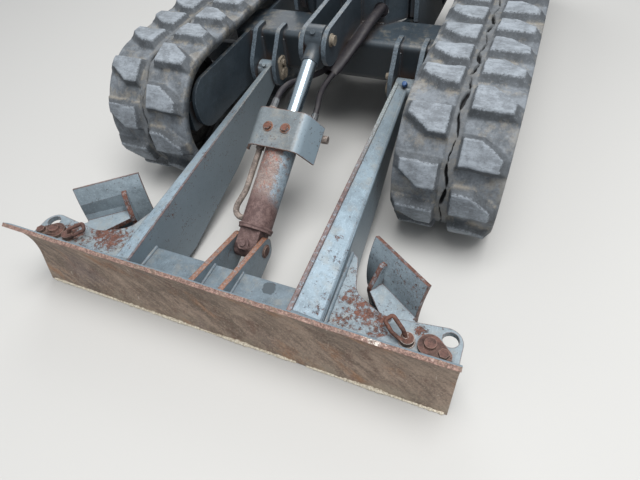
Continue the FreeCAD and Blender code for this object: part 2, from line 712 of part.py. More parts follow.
def lift_barrel():
    """Tube with its lower eye, a plugged port and its head."""
    reach = BARREL_END
    tube = cylinder_y(0, 0, BARREL_START - 6, reach, BARREL_R)
    seam = cylinder_y(0, 0, BARREL_START - 6, BARREL_START + 2, BARREL_R + BARREL_SEAM)
    head = cylinder_y(0, 0, reach - HEAD_LENGTH, reach, HEAD_R)
    eye = cylinder_x(-LIFT_EYE_WIDTH / 2, LIFT_EYE_WIDTH / 2, 0, 0, LIFT_EYE_R)
    neck = box(-LIFT_EYE_WIDTH / 2, LIFT_EYE_WIDTH / 2, 0, BARREL_START, -LIFT_EYE_R, LIFT_EYE_R)
    port = cylinder_z(0, 0, 0, PORT_RISE, PORT_R)
    plug = hexagon(0, 0, PORT_RISE, PORT_RISE + 4, PORT_PLUG_R)
    bore = cylinder_y(0, 0, BARREL_START + 12, reach, BARREL_R - BARREL_WALL)
    cap = cylinder_y(0, 0, reach - HEAD_LENGTH, reach, BARREL_R)
    cap = cap.cut(cylinder_y(0, 0, 0, FAR, ROD_R + WING_HOLE_GAP))
    tube = fused([tube, seam]).cut(bore).fuse(head.cut(cylinder_y(0, 0, 0, FAR, BARREL_R - 1))).fuse(cap)
    pin_hole = cylinder_x(-FAR, FAR, 0, 0, LIFT_PIN_R + PIN_CLEARANCE)
    return along_lift(fused([tube, eye, neck, port, plug]).cut(pin_hole))


def lift_rod():
    """Chromed rod with a piston, screwed into the eye at the frame."""
    foot = BARREL_END - ROD_INSERT
    rod = cylinder_y(0, 0, foot, LIFT_LENGTH - ROD_EYE_BORE_R - ROD_EYE_WALL, ROD_R)
    piston = cylinder_y(0, 0, foot, foot + PISTON_LENGTH, BARREL_R - BARREL_WALL - WING_HOLE_GAP)
    return along_lift(rod.fuse(piston).removeSplitter())


def rod_eye():
    """Eye block at the end of the rod, bored wide where the linkage is opened."""
    y = LIFT_LENGTH
    half = ROD_EYE_WIDTH / 2
    ring = cylinder_x(-half, half, y, 0, ROD_EYE_R)
    neck = cylinder_y(0, 0, y - ROD_EYE_R - ROD_EYE_NECK, y, ROD_EYE_NECK_R)
    nipple = cylinder_z(0, y - 8, ROD_EYE_BORE_R, ROD_EYE_R + 6, 6)
    bore = cylinder_x(-FAR, FAR, y, 0, ROD_EYE_BORE_R)
    shaft = cylinder_y(0, 0, 0, y - ROD_EYE_BORE_R - ROD_EYE_WALL, ROD_R)
    return along_lift(fused([ring, neck, nipple]).cut(bore).cut(shaft))


def head_guard():
    """Cover plate bent over the cylinder's head and bolted to its pad."""
    top, half, out = GUARD_TOP, GUARD_HALF_TOP, GUARD_OUT
    left_low, right_low = top - GUARD_RIGHT_FALL, top - GUARD_LEFT_FALL
    line = [(-out, left_low - GUARD_LIP, 0), (-out, left_low, 6), (-half, top, GUARD_BEND_R),
            (half, top, GUARD_BEND_R), (out, right_low, 0)]
    shape = plate_xz(bent_sheet(line, GUARD_PLATE), GUARD_START, GUARD_END)
    pad_start, pad_top = BARREL_END - HEAD_LENGTH + 4, top - GUARD_PLATE
    pad = box(-GUARD_PAD_HALF, GUARD_PAD_HALF, pad_start, GUARD_END - 6, 0, pad_top)
    pad = pad.cut(cylinder_y(0, 0, 0, FAR, HEAD_R))
    bolts = []
    for x, along in GUARD_BOLTS:
        bolts.append(cylinder_z(x, along, top, top + 2, GUARD_BOLT_R + 3))
        bolts.append(hexagon(x, along, top + 2, top + 2 + GUARD_BOLT_HEAD, GUARD_BOLT_R))
    return along_lift(fused([shape, pad] + bolts))


def lift_pipe():
    """Steel pipe from under the guard down to its port near the foot of the barrel, with two nuts."""
    x = -BARREL_R - PIPE_OFFSET
    low = PIPE_PORT
    path = [(x, GUARD_END - 6, PIPE_UP), (x, low + 62, PIPE_UP), (x - PIPE_BOW, low + 27, PIPE_UP - 1),
            (x - PIPE_BOW, low, PIPE_UP - 3), (-BARREL_R + 6, low, PIPE_UP - 3)]
    pipe = bent_bar(path, [PIPE_BEND_R * 4, PIPE_BEND_R, PIPE_BEND_R], PIPE_R)
    nuts = [cylinder_y(x, PIPE_UP, GUARD_START + 4, GUARD_START + 20, PIPE_NUT_R),
            cylinder_y(x, PIPE_UP, GUARD_END - 14, FITTING_END + 6, PIPE_NUT_R)]
    pipe = fused([pipe] + nuts).cut(cylinder_y(0, 0, 0, FAR, BARREL_R))
    return along_lift(pipe.cut(cylinder_y(0, 0, BARREL_END - HEAD_LENGTH, FAR, HEAD_R)))


def hose_fittings():
    """Block on the side of the cylinder's head with the fitting of the left hose."""
    back = BARREL_END - 14
    start = BARREL_END - HEAD_LENGTH + 4
    block = box(HEAD_R * 0.6, FITTING_X + FITTING_DROP - 8, start, back, -FITTING_DROP - 8, -FITTING_DROP + 9)
    block = block.cut(cylinder_y(0, 0, 0, FAR, HEAD_R))
    nut = cylinder_y(FITTING_X, -FITTING_DROP + 4, back, FITTING_END, FITTING_R)
    port = cylinder_x(FITTING_X, FITTING_PORT_OUT, start + 12, 1 - FITTING_DROP, FITTING_R)
    return along_lift(fused([block, nut, port]))


def lift_point(x, along, up):
    """A point given beside the lift cylinder's axis, in the machine's own directions."""
    turn = math.radians(LIFT_ANGLE)
    return (x, LIFT_LOW_Y + along * math.cos(turn) - up * math.sin(turn),
            LIFT_LOW_Z + along * math.sin(turn) + up * math.cos(turn))


def hose(name, port_z, points, x, along, up):
    """Hose from the swivel joint to a fitting: straight runs joined by arcs as large as the runs allow."""
    turn = math.radians(SWIVEL_PORT_TURN)
    out = [(reach * math.cos(turn), SLEW_Y + reach * math.sin(turn), port_z)
           for reach in (SWIVEL_PORT_REACH, SWIVEL_PORT_REACH + HOSE_START_RUN)]
    points = out + points + [lift_point(x, along + HOSE_END_RUN, up), lift_point(x, along, up)]
    bends = []
    spots = [Vector(*p) for p in points]
    for last, here, after in zip(spots, spots[1:], spots[2:]):
        half_turn = (here - last).getAngle(after - here) / 2
        bends.append(0.45 * min((here - last).Length, (after - here).Length) / math.tan(half_turn))
    tube = bent_bar(points, bends, HOSE_R)
    section = math.pi * HOSE_R ** 2
    print(name, "bends", [round(b) for b in bends], "length by volume", round(tube.Volume / section))
    return tube


def lift_hoses():
    """Both hoses of the lift cylinder, by name."""
    left = hose("left hose", SWIVEL_PORT_Z[0], LEFT_HOSE, FITTING_X, FITTING_END, -FITTING_DROP + 4)
    right = hose("right hose", SWIVEL_PORT_Z[1], RIGHT_HOSE, -BARREL_R - PIPE_OFFSET, FITTING_END + 6,
                 PIPE_UP)
    return {"lift_hose_left": left, "lift_hose_right": right}


def cross_pin(y, z, half, out):
    """Pin along X that stands out on both sides, held by a ring at each end."""
    shapes = [cylinder_x(-half - out, half + out, y, z, LIFT_PIN_R)]
    shapes += [cylinder_x(a, a + PIN_RING, y, z, PIN_RING_R) for a in (half, -half - PIN_RING)]
    return fused(shapes)


# Frame

def guide_block(front_y):
    """Outer form of a guide box."""
    rear = front_y + GUIDE_LENGTH
    walls = [(front_y, GUIDE_LOW, GUIDE_ROUND), (front_y, GUIDE_TOP, GUIDE_ROUND),
             (rear, GUIDE_TOP, GUIDE_ROUND), (rear, GUIDE_LOW, GUIDE_ROUND)]
    return plate_yz(walls, -GUIDE_HALF_WIDTH, GUIDE_HALF_WIDTH)


def guide_box(front_y):
    """Square tube across the frame, open at both ends, in which the crawler's beam slides."""
    rear = front_y + GUIDE_LENGTH
    low, top = GUIDE_LOW + GUIDE_WALL, GUIDE_TOP - GUIDE_WALL
    hollow = box(-FAR, FAR, front_y + GUIDE_WALL, rear - GUIDE_WALL, low, top)
    return guide_block(front_y).cut(hollow)


def centre_frame():
    """Side plates, bent front and rear plates, belly plate and the round plate under the slew ring."""
    half, flat, bent = FRAME_HALF_WIDTH, FRAME_FLAT_HALF, FRAME_BENT_HALF
    front = FRAME_FRONT_Y
    side_front = front + FRAME_SIDE_BACK
    back = front + FRAME_BENT_BACK
    side = box(half - FRAME_PLATE, half, side_front, 2 * SLEW_Y - side_front, GUIDE_LOW, FRAME_TOP)
    line = [(half - FRAME_PLATE / 2, back + 8, 0), (bent, back, 10), (flat, front, FRAME_BEND_R),
            (-flat, front, FRAME_BEND_R), (-bent, back, 10), (-half + FRAME_PLATE / 2, back + 8, 0)]
    plate = plate_xy(bent_sheet(line, FRAME_PLATE), GUIDE_TOP, FRAME_TOP)
    rear = plate.mirror(Vector(0, SLEW_Y, 0), Vector(0, 1, 0))
    belly = box(-half, half, GUIDE_FRONT_Y + GUIDE_LENGTH, REAR_GUIDE_Y, GUIDE_LOW, GUIDE_LOW + FRAME_PLATE)
    belly = belly.cut(cylinder_z(0, SLEW_Y, 0, FRAME_TOP, SWIVEL_R + 40))
    disc = cylinder_z(0, SLEW_Y, FRAME_TOP, SLEW_PLATE_TOP, SLEW_PLATE_R)
    lip = FRAME_PLATE / 2
    corners = [(half, side_front), (bent + lip, back - lip), (flat + lip, front - lip),
               (-flat - lip, front - lip), (-bent - lip, back - lip), (-half, side_front)]
    corners += [(u, 2 * SLEW_Y - v) for u, v in corners[::-1]]
    deck = plate_xy(square(corners), FRAME_TOP, SLEW_PLATE_TOP)
    shape = fused([side, mirrored(side), plate, rear, belly, disc, deck])
    shape = shape.cut(cylinder_z(0, SLEW_Y, FRAME_TOP - 1, SLEW_PLATE_TOP + 1, SLEW_BASE_HOLE_R))
    shape = shape.cut(cylinder_y(HOSE_HOLE_X, HOSE_HOLE_Z, front - 1, front + FRAME_PLATE * 2, HOSE_HOLE_R))
    for y in (GUIDE_FRONT_Y, REAR_GUIDE_Y):
        shape = shape.cut(box(-FAR, FAR, y, y + GUIDE_LENGTH, GUIDE_LOW, GUIDE_TOP))
    return shape


def arm_lugs_left():
    """Pair of plates on the front guide box that hold the left arm's pin."""
    y = GUIDE_FRONT_Y
    r = ARM_LUG_ROUND_R
    top = GUIDE_TOP + ARM_LUG_RISE
    low = GUIDE_LOW - ARM_LUG_RISE
    back = y + ARM_LUG_REACH_BACK
    under = tangent(y + ARM_LUG_AHEAD, low, ARM_PIVOT_Y, ARM_PIVOT_Z, r, -1)
    profile = [(back, top, 4), (y - ARM_LUG_AHEAD, top, ARM_LUG_CORNER_R),
               (ARM_PIVOT_Y - r, ARM_PIVOT_Z + r, 60), (ARM_PIVOT_Y - r, ARM_PIVOT_Z, 0),
               (ARM_PIVOT_Y, ARM_PIVOT_Z, 0), (under[0], under[1], 0),
               (y + ARM_LUG_AHEAD, low, 8), (back, low, 4)]
    inner = ARM_INNER_X - ARM_LIP - 2 * SIDE_PLAY - ARM_LUG_PLATE
    outer = ARM_INNER_X + ARM_REAR_WIDTH + ARM_BOSS_OUT + SIDE_PLAY
    hole = cylinder_x(0, FAR, ARM_PIVOT_Y, ARM_PIVOT_Z, ARM_PIN_R + PIN_CLEARANCE)
    plates = []
    for x in (inner, outer):
        plate = plate_yz(profile, x, x + ARM_LUG_PLATE)
        plate = fused([plate, cylinder_x(x, x + ARM_LUG_PLATE, ARM_PIVOT_Y, ARM_PIVOT_Z, r)])
        plates += plate.cut(guide_block(y)).cut(hole).Solids
    return Part.makeCompound(plates)


def arm_pin_left():
    """Arm pin with a flag plate on its inner end, bolted to the lug."""
    inner = ARM_INNER_X - ARM_LIP - 2 * SIDE_PLAY - ARM_LUG_PLATE
    outer = ARM_INNER_X + ARM_REAR_WIDTH + ARM_BOSS_OUT + SIDE_PLAY + ARM_LUG_PLATE
    y, z = ARM_PIVOT_Y, ARM_PIVOT_Z
    pin = cylinder_x(inner - FLAG_PLATE - 5, outer + 2, y, z, ARM_PIN_R)
    half = ARM_PIN_R + 3
    high = z + FLAG_BOLT_RISE + 14
    flag = plate_yz([(y - half, z - half, 10), (y + half, z - half, 10), (y + half, high, 10),
                     (y - half, high, 10)], inner - FLAG_PLATE, inner)
    bolt = cylinder_x(inner - FLAG_PLATE - 7, inner - FLAG_PLATE, y, z + FLAG_BOLT_RISE, FLAG_BOLT_R)
    return fused([pin, flag, bolt])


def lift_lugs():
    """Two tall plates on the frame's front that hold the upper pin."""
    r = LIFT_LUG_R
    y, z = LIFT_HIGH_Y + LIFT_LUG_BACK, LIFT_HIGH_Z - LIFT_LUG_DROP
    back = FRAME_FRONT_Y
    high = (back - 1.3 * r, FRAME_TOP)
    low = (back, GUIDE_TOP)
    profile = square([low, tangent(*low, y, z, r, -1), (y, z), tangent(*high, y, z, r, 1), high,
                      (back, FRAME_TOP)])
    near = LIFT_LUG_GAP / 2
    far = near + LIFT_LUG_PLATE
    plate = fused([plate_yz(profile, near, far), cylinder_x(near, far, y, z, r)])
    plate = plate.cut(cylinder_x(0, FAR, LIFT_HIGH_Y, LIFT_HIGH_Z, LIFT_PIN_R + PIN_CLEARANCE))
    plate = plate.cut(guide_block(GUIDE_FRONT_Y))
    return Part.makeCompound(plate.Solids + mirrored(plate).Solids)


def slew_inner():
    """Inner ring of the slew bearing with the teeth that the slew pinion runs on."""
    z0, z1 = SLEW_PLATE_TOP, SLEW_PLATE_TOP + SLEW_INNER_HEIGHT
    ring = cylinder_z(0, SLEW_Y, z0, z1, SLEW_SPLIT_R - SLEW_PLAY)
    step = math.pi / SLEW_TEETH
    root, tip = SLEW_INNER_R + SLEW_TOOTH_DEPTH, SLEW_INNER_R
    points = []
    for tooth in range(SLEW_TEETH):
        for part, r in ((0.0, root), (0.8, root), (1.15, tip), (1.65, tip)):
            a = (2 * tooth + part) * step
            points.append((r * math.cos(a), SLEW_Y + r * math.sin(a)))
    return ring.cut(plate_xy(square(points), z0 - 1, z1 + 1))


def slew_outer():
    """Outer ring with the bolt circle that carries the upper machine."""
    z0 = SLEW_PLATE_TOP + SLEW_OUTER_LIFT
    z1 = z0 + SLEW_OUTER_HEIGHT
    ring = cylinder_z(0, SLEW_Y, z0, z1, SLEW_OUTER_R).cut(cylinder_z(0, SLEW_Y, z0 - 1, z1 + 1,
                                                                     SLEW_SPLIT_R + SLEW_PLAY))
    holes = []
    for i in range(SLEW_BOLTS):
        a = 2 * math.pi * i / SLEW_BOLTS
        holes.append(cylinder_z(SLEW_BOLT_CIRCLE_R * math.cos(a), SLEW_Y + SLEW_BOLT_CIRCLE_R * math.sin(a),
                                z0 - 1, z1 + 1, SLEW_BOLT_HOLE_R))
    return ring.cut(Part.makeCompound(holes))


def swivel_joint():
    """Swivel joint for the oil of the crawlers and the lift cylinder, on a cross bar."""
    top = SWIVEL_TOP_Z - SWIVEL_CAP
    body = cylinder_z(0, SLEW_Y, SWIVEL_BASE_Z, top, SWIVEL_R)
    cap = cylinder_z(0, SLEW_Y, top, SWIVEL_TOP_Z, SWIVEL_R - 12)
    bar = box(-FRAME_HALF_WIDTH + FRAME_PLATE, FRAME_HALF_WIDTH - FRAME_PLATE, SLEW_Y - 30, SLEW_Y + 30,
              SWIVEL_BASE_Z - 12, SWIVEL_BASE_Z)
    turn = math.radians(SWIVEL_PORT_TURN)
    out = Vector(math.cos(turn), math.sin(turn), 0)
    ports = [Part.makeCylinder(FITTING_R, SWIVEL_PORT_REACH, Vector(0, SLEW_Y, z), out)
             for z in SWIVEL_PORT_Z]
    return fused([body, cap, bar] + ports)


# Crawlers

def track_ring(r, half_width):
    """Loop round both wheels at a radius, as a solid as wide as asked."""
    ends = [cylinder_x(-half_width, half_width, y, AXLE_Z, r) for y in (IDLER_Y, SPROCKET_Y)]
    middle = box(-half_width, half_width, IDLER_Y, SPROCKET_Y, AXLE_Z - r, AXLE_Z + r)
    return fused(ends + [middle])


def track_place(distance):
    """Placement of a lug at a distance along the loop, counted from above the idler."""
    around = math.pi * TRACK_PITCH * SPROCKET_TEETH / (2 * math.pi)
    total = TRACK_PITCH * TRACK_LINKS
    distance %= total
    if distance < WHEELBASE:
        return IDLER_Y + distance, 0.0
    distance -= WHEELBASE
    if distance < around:
        return SPROCKET_Y, 180.0 * distance / around
    distance -= around
    if distance < WHEELBASE:
        return SPROCKET_Y - distance, 180.0
    distance -= WHEELBASE
    return IDLER_Y, 180.0 + 180.0 * distance / around


def rubber_track():
    """Belt with two staggered rows of lugs and a row of guide horns inside, centred on X = 0."""
    half = TRACK_WIDTH / 2
    belt = track_ring(BELT_OUTER_R, half).cut(track_ring(BELT_INNER_R, half + 1))
    out = half - LUG_EDGE_INSET
    knee = LUG_START + (out - LUG_START) * LUG_KNEE
    low = -LUG_WIDE / 2
    crown = outline(square([(LUG_START, low), (out, low), (out, low + LUG_NARROW), (knee, -low),
                            (LUG_START, -low)]))
    foot = crown.makeOffset2D(LUG_DRAFT)
    foot.translate(Vector(0, 0, BELT_OUTER_R - LUG_ROOT))
    crown.translate(Vector(0, 0, AXLE_Z))
    lug = Part.makeLoft([foot, crown], True, True)
    horn_foot = outline(square([(HORN_IN, -HORN_HALF), (HORN_OUT, -HORN_HALF), (HORN_OUT, HORN_HALF),
                                (HORN_IN, HORN_HALF)]))
    horn_tip = horn_foot.makeOffset2D(-HORN_DRAFT)
    horn_foot.translate(Vector(0, 0, BELT_INNER_R + 3))
    horn_tip.translate(Vector(0, 0, BELT_INNER_R - HORN_HEIGHT))
    horn = Part.makeLoft([horn_tip, horn_foot], True, True)
    shapes = []
    for i in range(2 * TRACK_LINKS):
        y, turn = track_place(i / 2 * TRACK_PITCH)
        here = [lug.copy()] if i % 2 else [lug.copy(), horn.copy(), horn.copy()]
        if i % 2 == 0:
            here[0].rotate(Vector(0, 0, 0), Vector(0, 0, 1), 180)
            here[2].rotate(Vector(0, 0, 0), Vector(0, 0, 1), 180)
        for shape in here:
            shape.rotate(Vector(0, 0, 0), Vector(1, 0, 0), -turn)
            shape.translate(Vector(0, y, AXLE_Z))
        shapes += here
    return belt.multiFuse(shapes)


def idler():
    """Front wheel that the track runs round, between the horns."""
    half = IDLER_WIDTH / 2
    wheel = cylinder_x(-half, half, IDLER_Y, AXLE_Z, IDLER_R)
    rim = cylinder_x(-half - 1, half + 1, IDLER_Y, AXLE_Z, IDLER_R - IDLER_RIM)
    web = cylinder_x(-IDLER_WEB / 2, IDLER_WEB / 2, IDLER_Y, AXLE_Z, IDLER_R - IDLER_RIM / 2)
    hub = cylinder_x(-IDLER_HUB_WIDTH / 2, IDLER_HUB_WIDTH / 2, IDLER_Y, AXLE_Z, IDLER_HUB_R)
    bore = cylinder_x(-FAR, FAR, IDLER_Y, AXLE_Z, IDLER_AXLE_R + PIN_CLEARANCE)
    return fused([wheel.cut(rim), web, hub]).cut(bore)


def idler_yoke():
    """Fork of two heavy bars that carries the idler's axle at the side frame's front."""
    inner = IDLER_HUB_WIDTH / 2 + YOKE_GAP
    front, rear = IDLER_Y - YOKE_REACH, IDLER_Y + SIDE_FRONT
    low, top = YOKE_LOW - YOKE_FALL, YOKE_TOP - YOKE_FALL
    bar = plate_yz([(front, YOKE_LOW, 8), (rear, low, 0), (rear, top, 0), (front, YOKE_TOP, 8)],
                   inner, inner + YOKE_PLATE)
    axle = cylinder_x(-inner, inner, IDLER_Y, AXLE_Z, IDLER_AXLE_R)
    block = box(-inner, inner, rear - SIDE_PLATE, rear, low, SIDE_BOX_TOP - SIDE_BOX_FALL)
    return fused([bar, mirrored(bar), axle, block])


def side_frame():
    """Beam between idler and sprocket: box, roller skirts and motor plate."""
    front = IDLER_Y + SIDE_FRONT
    rear = SPROCKET_Y - SIDE_REAR
    half = SIDE_BOX_HALF
    profile = [(front, SIDE_BOX_LOW, 0), (rear, SIDE_BOX_LOW, 0), (rear, SIDE_BOX_TOP, 12),
               (front + 60, SIDE_BOX_TOP, 30), (front, SIDE_BOX_TOP - SIDE_BOX_FALL, 8)]
    body = plate_yz(profile, -half, half)
    low = [(front + 10, SIDE_BOX_LOW + 4, 0), (front + 30, SIDE_SKIRT_LOW, 10),
           (rear - 20, SIDE_SKIRT_LOW, 10), (rear, SIDE_BOX_LOW + 4, 0)]
    skirts = [plate_yz(low, -half, -half + SIDE_PLATE), plate_yz(low, half - SIDE_PLATE, half)]
    mount = plate_yz([(rear - 20, SIDE_BOX_LOW, 0), (rear - 20, SIDE_BOX_TOP, 0),
                      (SPROCKET_Y, AXLE_Z + MOTOR_R + 8, 60), (SPROCKET_Y + MOTOR_R, AXLE_Z + 40, 60),
                      (SPROCKET_Y + MOTOR_R, AXLE_Z - 40, 60), (SPROCKET_Y, AXLE_Z - MOTOR_R - 8, 60)],
                     -half, -half + SIDE_PLATE)
    mount = mount.cut(cylinder_x(-FAR, FAR, SPROCKET_Y, AXLE_Z, MOTOR_R - 20))
    return fused([body] + skirts + [mount, beam_seats()])


def track_rollers():
    """Bottom rollers on their axles and one carrier roller on its stand, with rims outside the horns."""
    pieces = []
    z = AXLE_Z - BELT_INNER_R + ROLLER_R + 0.5
    inner = SIDE_BOX_HALF - SIDE_PLATE
    rims = ((-ROLLER_IN - ROLLER_RIM, -ROLLER_IN), (ROLLER_IN, ROLLER_IN + ROLLER_RIM))
    for i in range(ROLLER_COUNT):
        y = IDLER_Y + ROLLER_FIRST + i * ROLLER_SPACING
        roller = [cylinder_x(-inner, inner, y, z, ROLLER_AXLE_R)]
        roller.append(cylinder_x(-ROLLER_IN, ROLLER_IN, y, z, ROLLER_NECK_R))
        roller += [cylinder_x(a, b, y, z, ROLLER_R) for a, b in rims]
        pieces.append(fused(roller))
    z = AXLE_Z + BELT_INNER_R - 0.5 - CARRIER_R
    carrier = [cylinder_x(-ROLLER_IN, ROLLER_IN, SLEW_Y, z, CARRIER_NECK_R)]
    carrier += [cylinder_x(a, b, SLEW_Y, z, CARRIER_R) for a, b in rims]
    stand = box(-10, 10, SLEW_Y - CARRIER_NECK_R, SLEW_Y + CARRIER_NECK_R, SIDE_BOX_TOP, z)
    pieces.append(fused(carrier + [stand]))
    return Part.makeCompound([s for p in pieces for s in p.Solids])


def sprocket():
    """Toothed drive wheel."""
    half = SPROCKET_PLATE / 2
    points = []
    root, tip = BELT_INNER_R - SPROCKET_ROOT, BELT_INNER_R - SPROCKET_TIP
    for tooth in range(SPROCKET_TEETH):
        for part, r in ((-0.30, root), (-0.16, tip), (0.16, tip), (0.30, root)):
            a = 2 * math.pi * (tooth + part) / SPROCKET_TEETH
            points.append((SPROCKET_Y + r * math.cos(a), AXLE_Z + r * math.sin(a)))
    wheel = plate_yz(square(points), -half, half)
    return wheel.cut(cylinder_x(-FAR, FAR, SPROCKET_Y, AXLE_Z, MOTOR_R - 8))


def travel_motor():
    """Drive motor with its gearbox, through the middle of the sprocket."""
    inner = SIDE_BOX_HALF
    cover = SPROCKET_PLATE / 2 + MOTOR_COVER
    y, z = SPROCKET_Y, AXLE_Z
    pieces = [cylinder_x(-inner + SIDE_PLATE, cover, y, z, MOTOR_R - 8),
              cylinder_x(-inner, -inner + SIDE_PLATE, y, z, MOTOR_R - 20),
              cylinder_x(cover, cover + SIDE_PLATE, y, z, MOTOR_R - 30),
              cylinder_x(-inner - MOTOR_BODY + 14, -inner, y, z, MOTOR_R - 26)]
    return fused(pieces)


def beam_seats():
    """Seats of both slide beams on the side frame and the panel that ties them."""
    out = GAUGE / 2 - SIDE_BOX_HALF
    first, last = GUIDE_FRONT_Y, REAR_GUIDE_Y
    top = GUIDE_TOP - SIDE_PLATE
    seats = [box(INNER_PANEL_X, out, y, y + GUIDE_LENGTH, SIDE_BOX_LOW, top) for y in (first, last)]
    rear = last + GUIDE_LENGTH + PANEL_REAR
    start = first - PANEL_REACH
    panel = plate_yz([(start, PANEL_LOW, PANEL_CORNER_R), (rear, PANEL_LOW, 20), (rear, top, 30),
                      (start, top, PANEL_CORNER_R)], INNER_PANEL_X, INNER_PANEL_X + SIDE_PLATE)
    ribs = [box(INNER_PANEL_X, out, y, y + SIDE_PLATE, PANEL_LOW, SIDE_BOX_TOP)
            for y in (first - SIDE_PLATE * 4, SLEW_Y - SIDE_PLATE / 2)]
    shape = fused(seats + [panel] + ribs)
    shape.translate(Vector(-GAUGE / 2, 0, 0))
    return shape


def slide_beams():
    """Two beams of the left crawler, each with the flange that bolts to the side frame."""
    beams = []
    for y in (GUIDE_FRONT_Y, REAR_GUIDE_Y):
        inset = GUIDE_WALL + BEAM_PLAY
        beam = box(BEAM_MIDDLE_GAP, INNER_PANEL_X, y + inset, y + GUIDE_LENGTH - inset, GUIDE_LOW + inset,
                   GUIDE_TOP - inset)
        hollow = box(BEAM_MIDDLE_GAP - 1, INNER_PANEL_X - 1, y + inset + BEAM_WALL, y + GUIDE_LENGTH - inset - BEAM_WALL,
                     GUIDE_LOW + inset + BEAM_WALL, GUIDE_TOP - inset - BEAM_WALL)
        beams.append(beam.cut(hollow))
    return Part.makeCompound(beams)


def crawler_pieces(side):
    """Pieces of one crawler, by name, in place: side is 1 for the left one and -1 for the right one."""
    pieces = {"idler": idler(), "idler_yoke": idler_yoke(), "side_frame": side_frame(),
              "track_rollers": track_rollers(), "sprocket": sprocket(), "travel_motor": travel_motor()}
    for shape in pieces.values():
        shape.translate(Vector(GAUGE / 2, 0, 0))
    pieces["slide_beams"] = slide_beams()
    if side < 0:
        pieces = {name: mirrored(shape) for name, shape in pieces.items()}
    pieces["rubber_track"] = rubber_track()
    pieces["rubber_track"].translate(Vector(side * GAUGE / 2, 0, 0))
    return pieces


def gauge_cylinder():
    """Cylinder that spreads the crawlers: barrel on the right one, rod on the left one."""
    y, z = SLEW_Y + GAUGE_BACK, GAUGE_Z
    reach = INNER_PANEL_X
    barrel = cylinder_x(-reach, GAUGE_BARREL_END, y, z, GAUGE_BARREL_R)
    barrel = barrel.cut(cylinder_x(-reach + GAUGE_FOOT, FAR, y, z, GAUGE_ROD_R + SLEW_PLAY))
    rod = cylinder_x(-reach + GAUGE_FOOT + 5, reach, y, z, GAUGE_ROD_R)
    return barrel, rod


def frame_pieces():
    """Pieces that stay on the frame, by name."""
    front, rear = guide_box(GUIDE_FRONT_Y), guide_box(REAR_GUIDE_Y)
    lug = arm_lugs_left()
    half = LIFT_LUG_GAP / 2 + LIFT_LUG_PLATE
    hole = cylinder_x(-FAR, FAR, SLEW_Y + GAUGE_BACK, GAUGE_Z, GAUGE_BARREL_R + 6)
    pieces = {"centre_frame": centre_frame().cut(hole), "front_guide_box": front, "rear_guide_box": rear,
              "arm_lugs_left": lug, "arm_lugs_right": mirrored(lug), "lift_lugs": lift_lugs(),
              "arm_pin_left": arm_pin_left(), "arm_pin_right": mirrored(arm_pin_left()),
              "lift_pin_upper": cross_pin(LIFT_HIGH_Y, LIFT_HIGH_Z, half, 10),
              "slew_ring_inner": slew_inner(),
              "slew_ring_outer": slew_outer(), "swivel_joint": swivel_joint()}
    pieces.update(lift_hoses())
    return pieces


def main():
    """Builds every piece and writes one STEP file for each."""
    nodes = blade_pieces()
    for name, shape in blade_side_pieces().items():
        nodes[name + "_left"] = shape
        nodes[name + "_right"] = mirrored(shape)
    nodes["wing_left"] = wing_folded(WING_SWING + WING_LEAN)
    nodes["wing_right"] = mirrored(wing_folded(WING_SWING - WING_LEAN))
    nodes["back_box"] = back_box()
    nodes["lift_bracket"] = lift_bracket()
    nodes["lift_pin_lower"] = cross_pin(LIFT_LOW_Y, LIFT_LOW_Z, BRACKET_GAP / 2 + BRACKET_PLATE, 4)
    nodes.update({"lift_barrel": lift_barrel(), "lift_rod": lift_rod(), "rod_eye": rod_eye(),
                  "head_guard": head_guard(), "lift_pipe": lift_pipe(), "hose_fittings": hose_fittings()})
    nodes.update(frame_pieces())
    for side, word in ((1, "_left"), (-1, "_right")):
        for name, shape in crawler_pieces(side).items():
            nodes[name + word] = shape
    nodes["gauge_barrel"], nodes["gauge_rod"] = gauge_cylinder()

    os.makedirs("parts", exist_ok=True)
    for name, shape in nodes.items():
        shape.translate(Vector(0, -ORIGIN_Y, 0))
        shape.exportStep("parts/" + name + ".step")
        state = "valid" if shape.isValid() else "INVALID"
        print(name, len(shape.Solids), "solids", round(shape.Volume / 1000), "cm3", state)
    print("origin at y", ORIGIN_Y, "lift angle", LIFT_ANGLE, "length", LIFT_LENGTH, "slew y", SLEW_Y)


main()
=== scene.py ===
"""Looks of a mini excavator's tracked undercarriage with its dozer blade.

Lengths are in metres. +X is the machine's left, +Y its rear and +Z is up.
"""
import json
import math
import bmesh
import bpy
from bpy.props import FloatProperty, FloatVectorProperty, IntProperty, PointerProperty
from mathutils import Matrix, Vector, noise
from mathutils.bvhtree import BVHTree


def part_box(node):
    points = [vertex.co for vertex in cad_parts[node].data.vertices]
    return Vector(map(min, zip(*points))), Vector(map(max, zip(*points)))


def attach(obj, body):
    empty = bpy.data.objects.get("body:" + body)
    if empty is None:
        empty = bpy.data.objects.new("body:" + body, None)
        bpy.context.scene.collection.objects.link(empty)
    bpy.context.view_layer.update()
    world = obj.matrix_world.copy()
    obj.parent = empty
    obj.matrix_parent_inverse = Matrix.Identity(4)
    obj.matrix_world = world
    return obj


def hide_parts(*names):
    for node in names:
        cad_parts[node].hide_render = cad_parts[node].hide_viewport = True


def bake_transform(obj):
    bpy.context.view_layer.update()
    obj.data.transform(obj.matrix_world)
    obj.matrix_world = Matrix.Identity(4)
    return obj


bl_info = {
    "name": "Tracked Undercarriage with Dozer Blade",
    "version": (1, 0, 0),
    "blender": (4, 5, 0),
    "location": "View3D > Sidebar > Undercarriage",
    "description": "Dresses the undercarriage of a mini excavator with worn paint, rust, rubber and welds",
    "category": "Add Mesh",
}

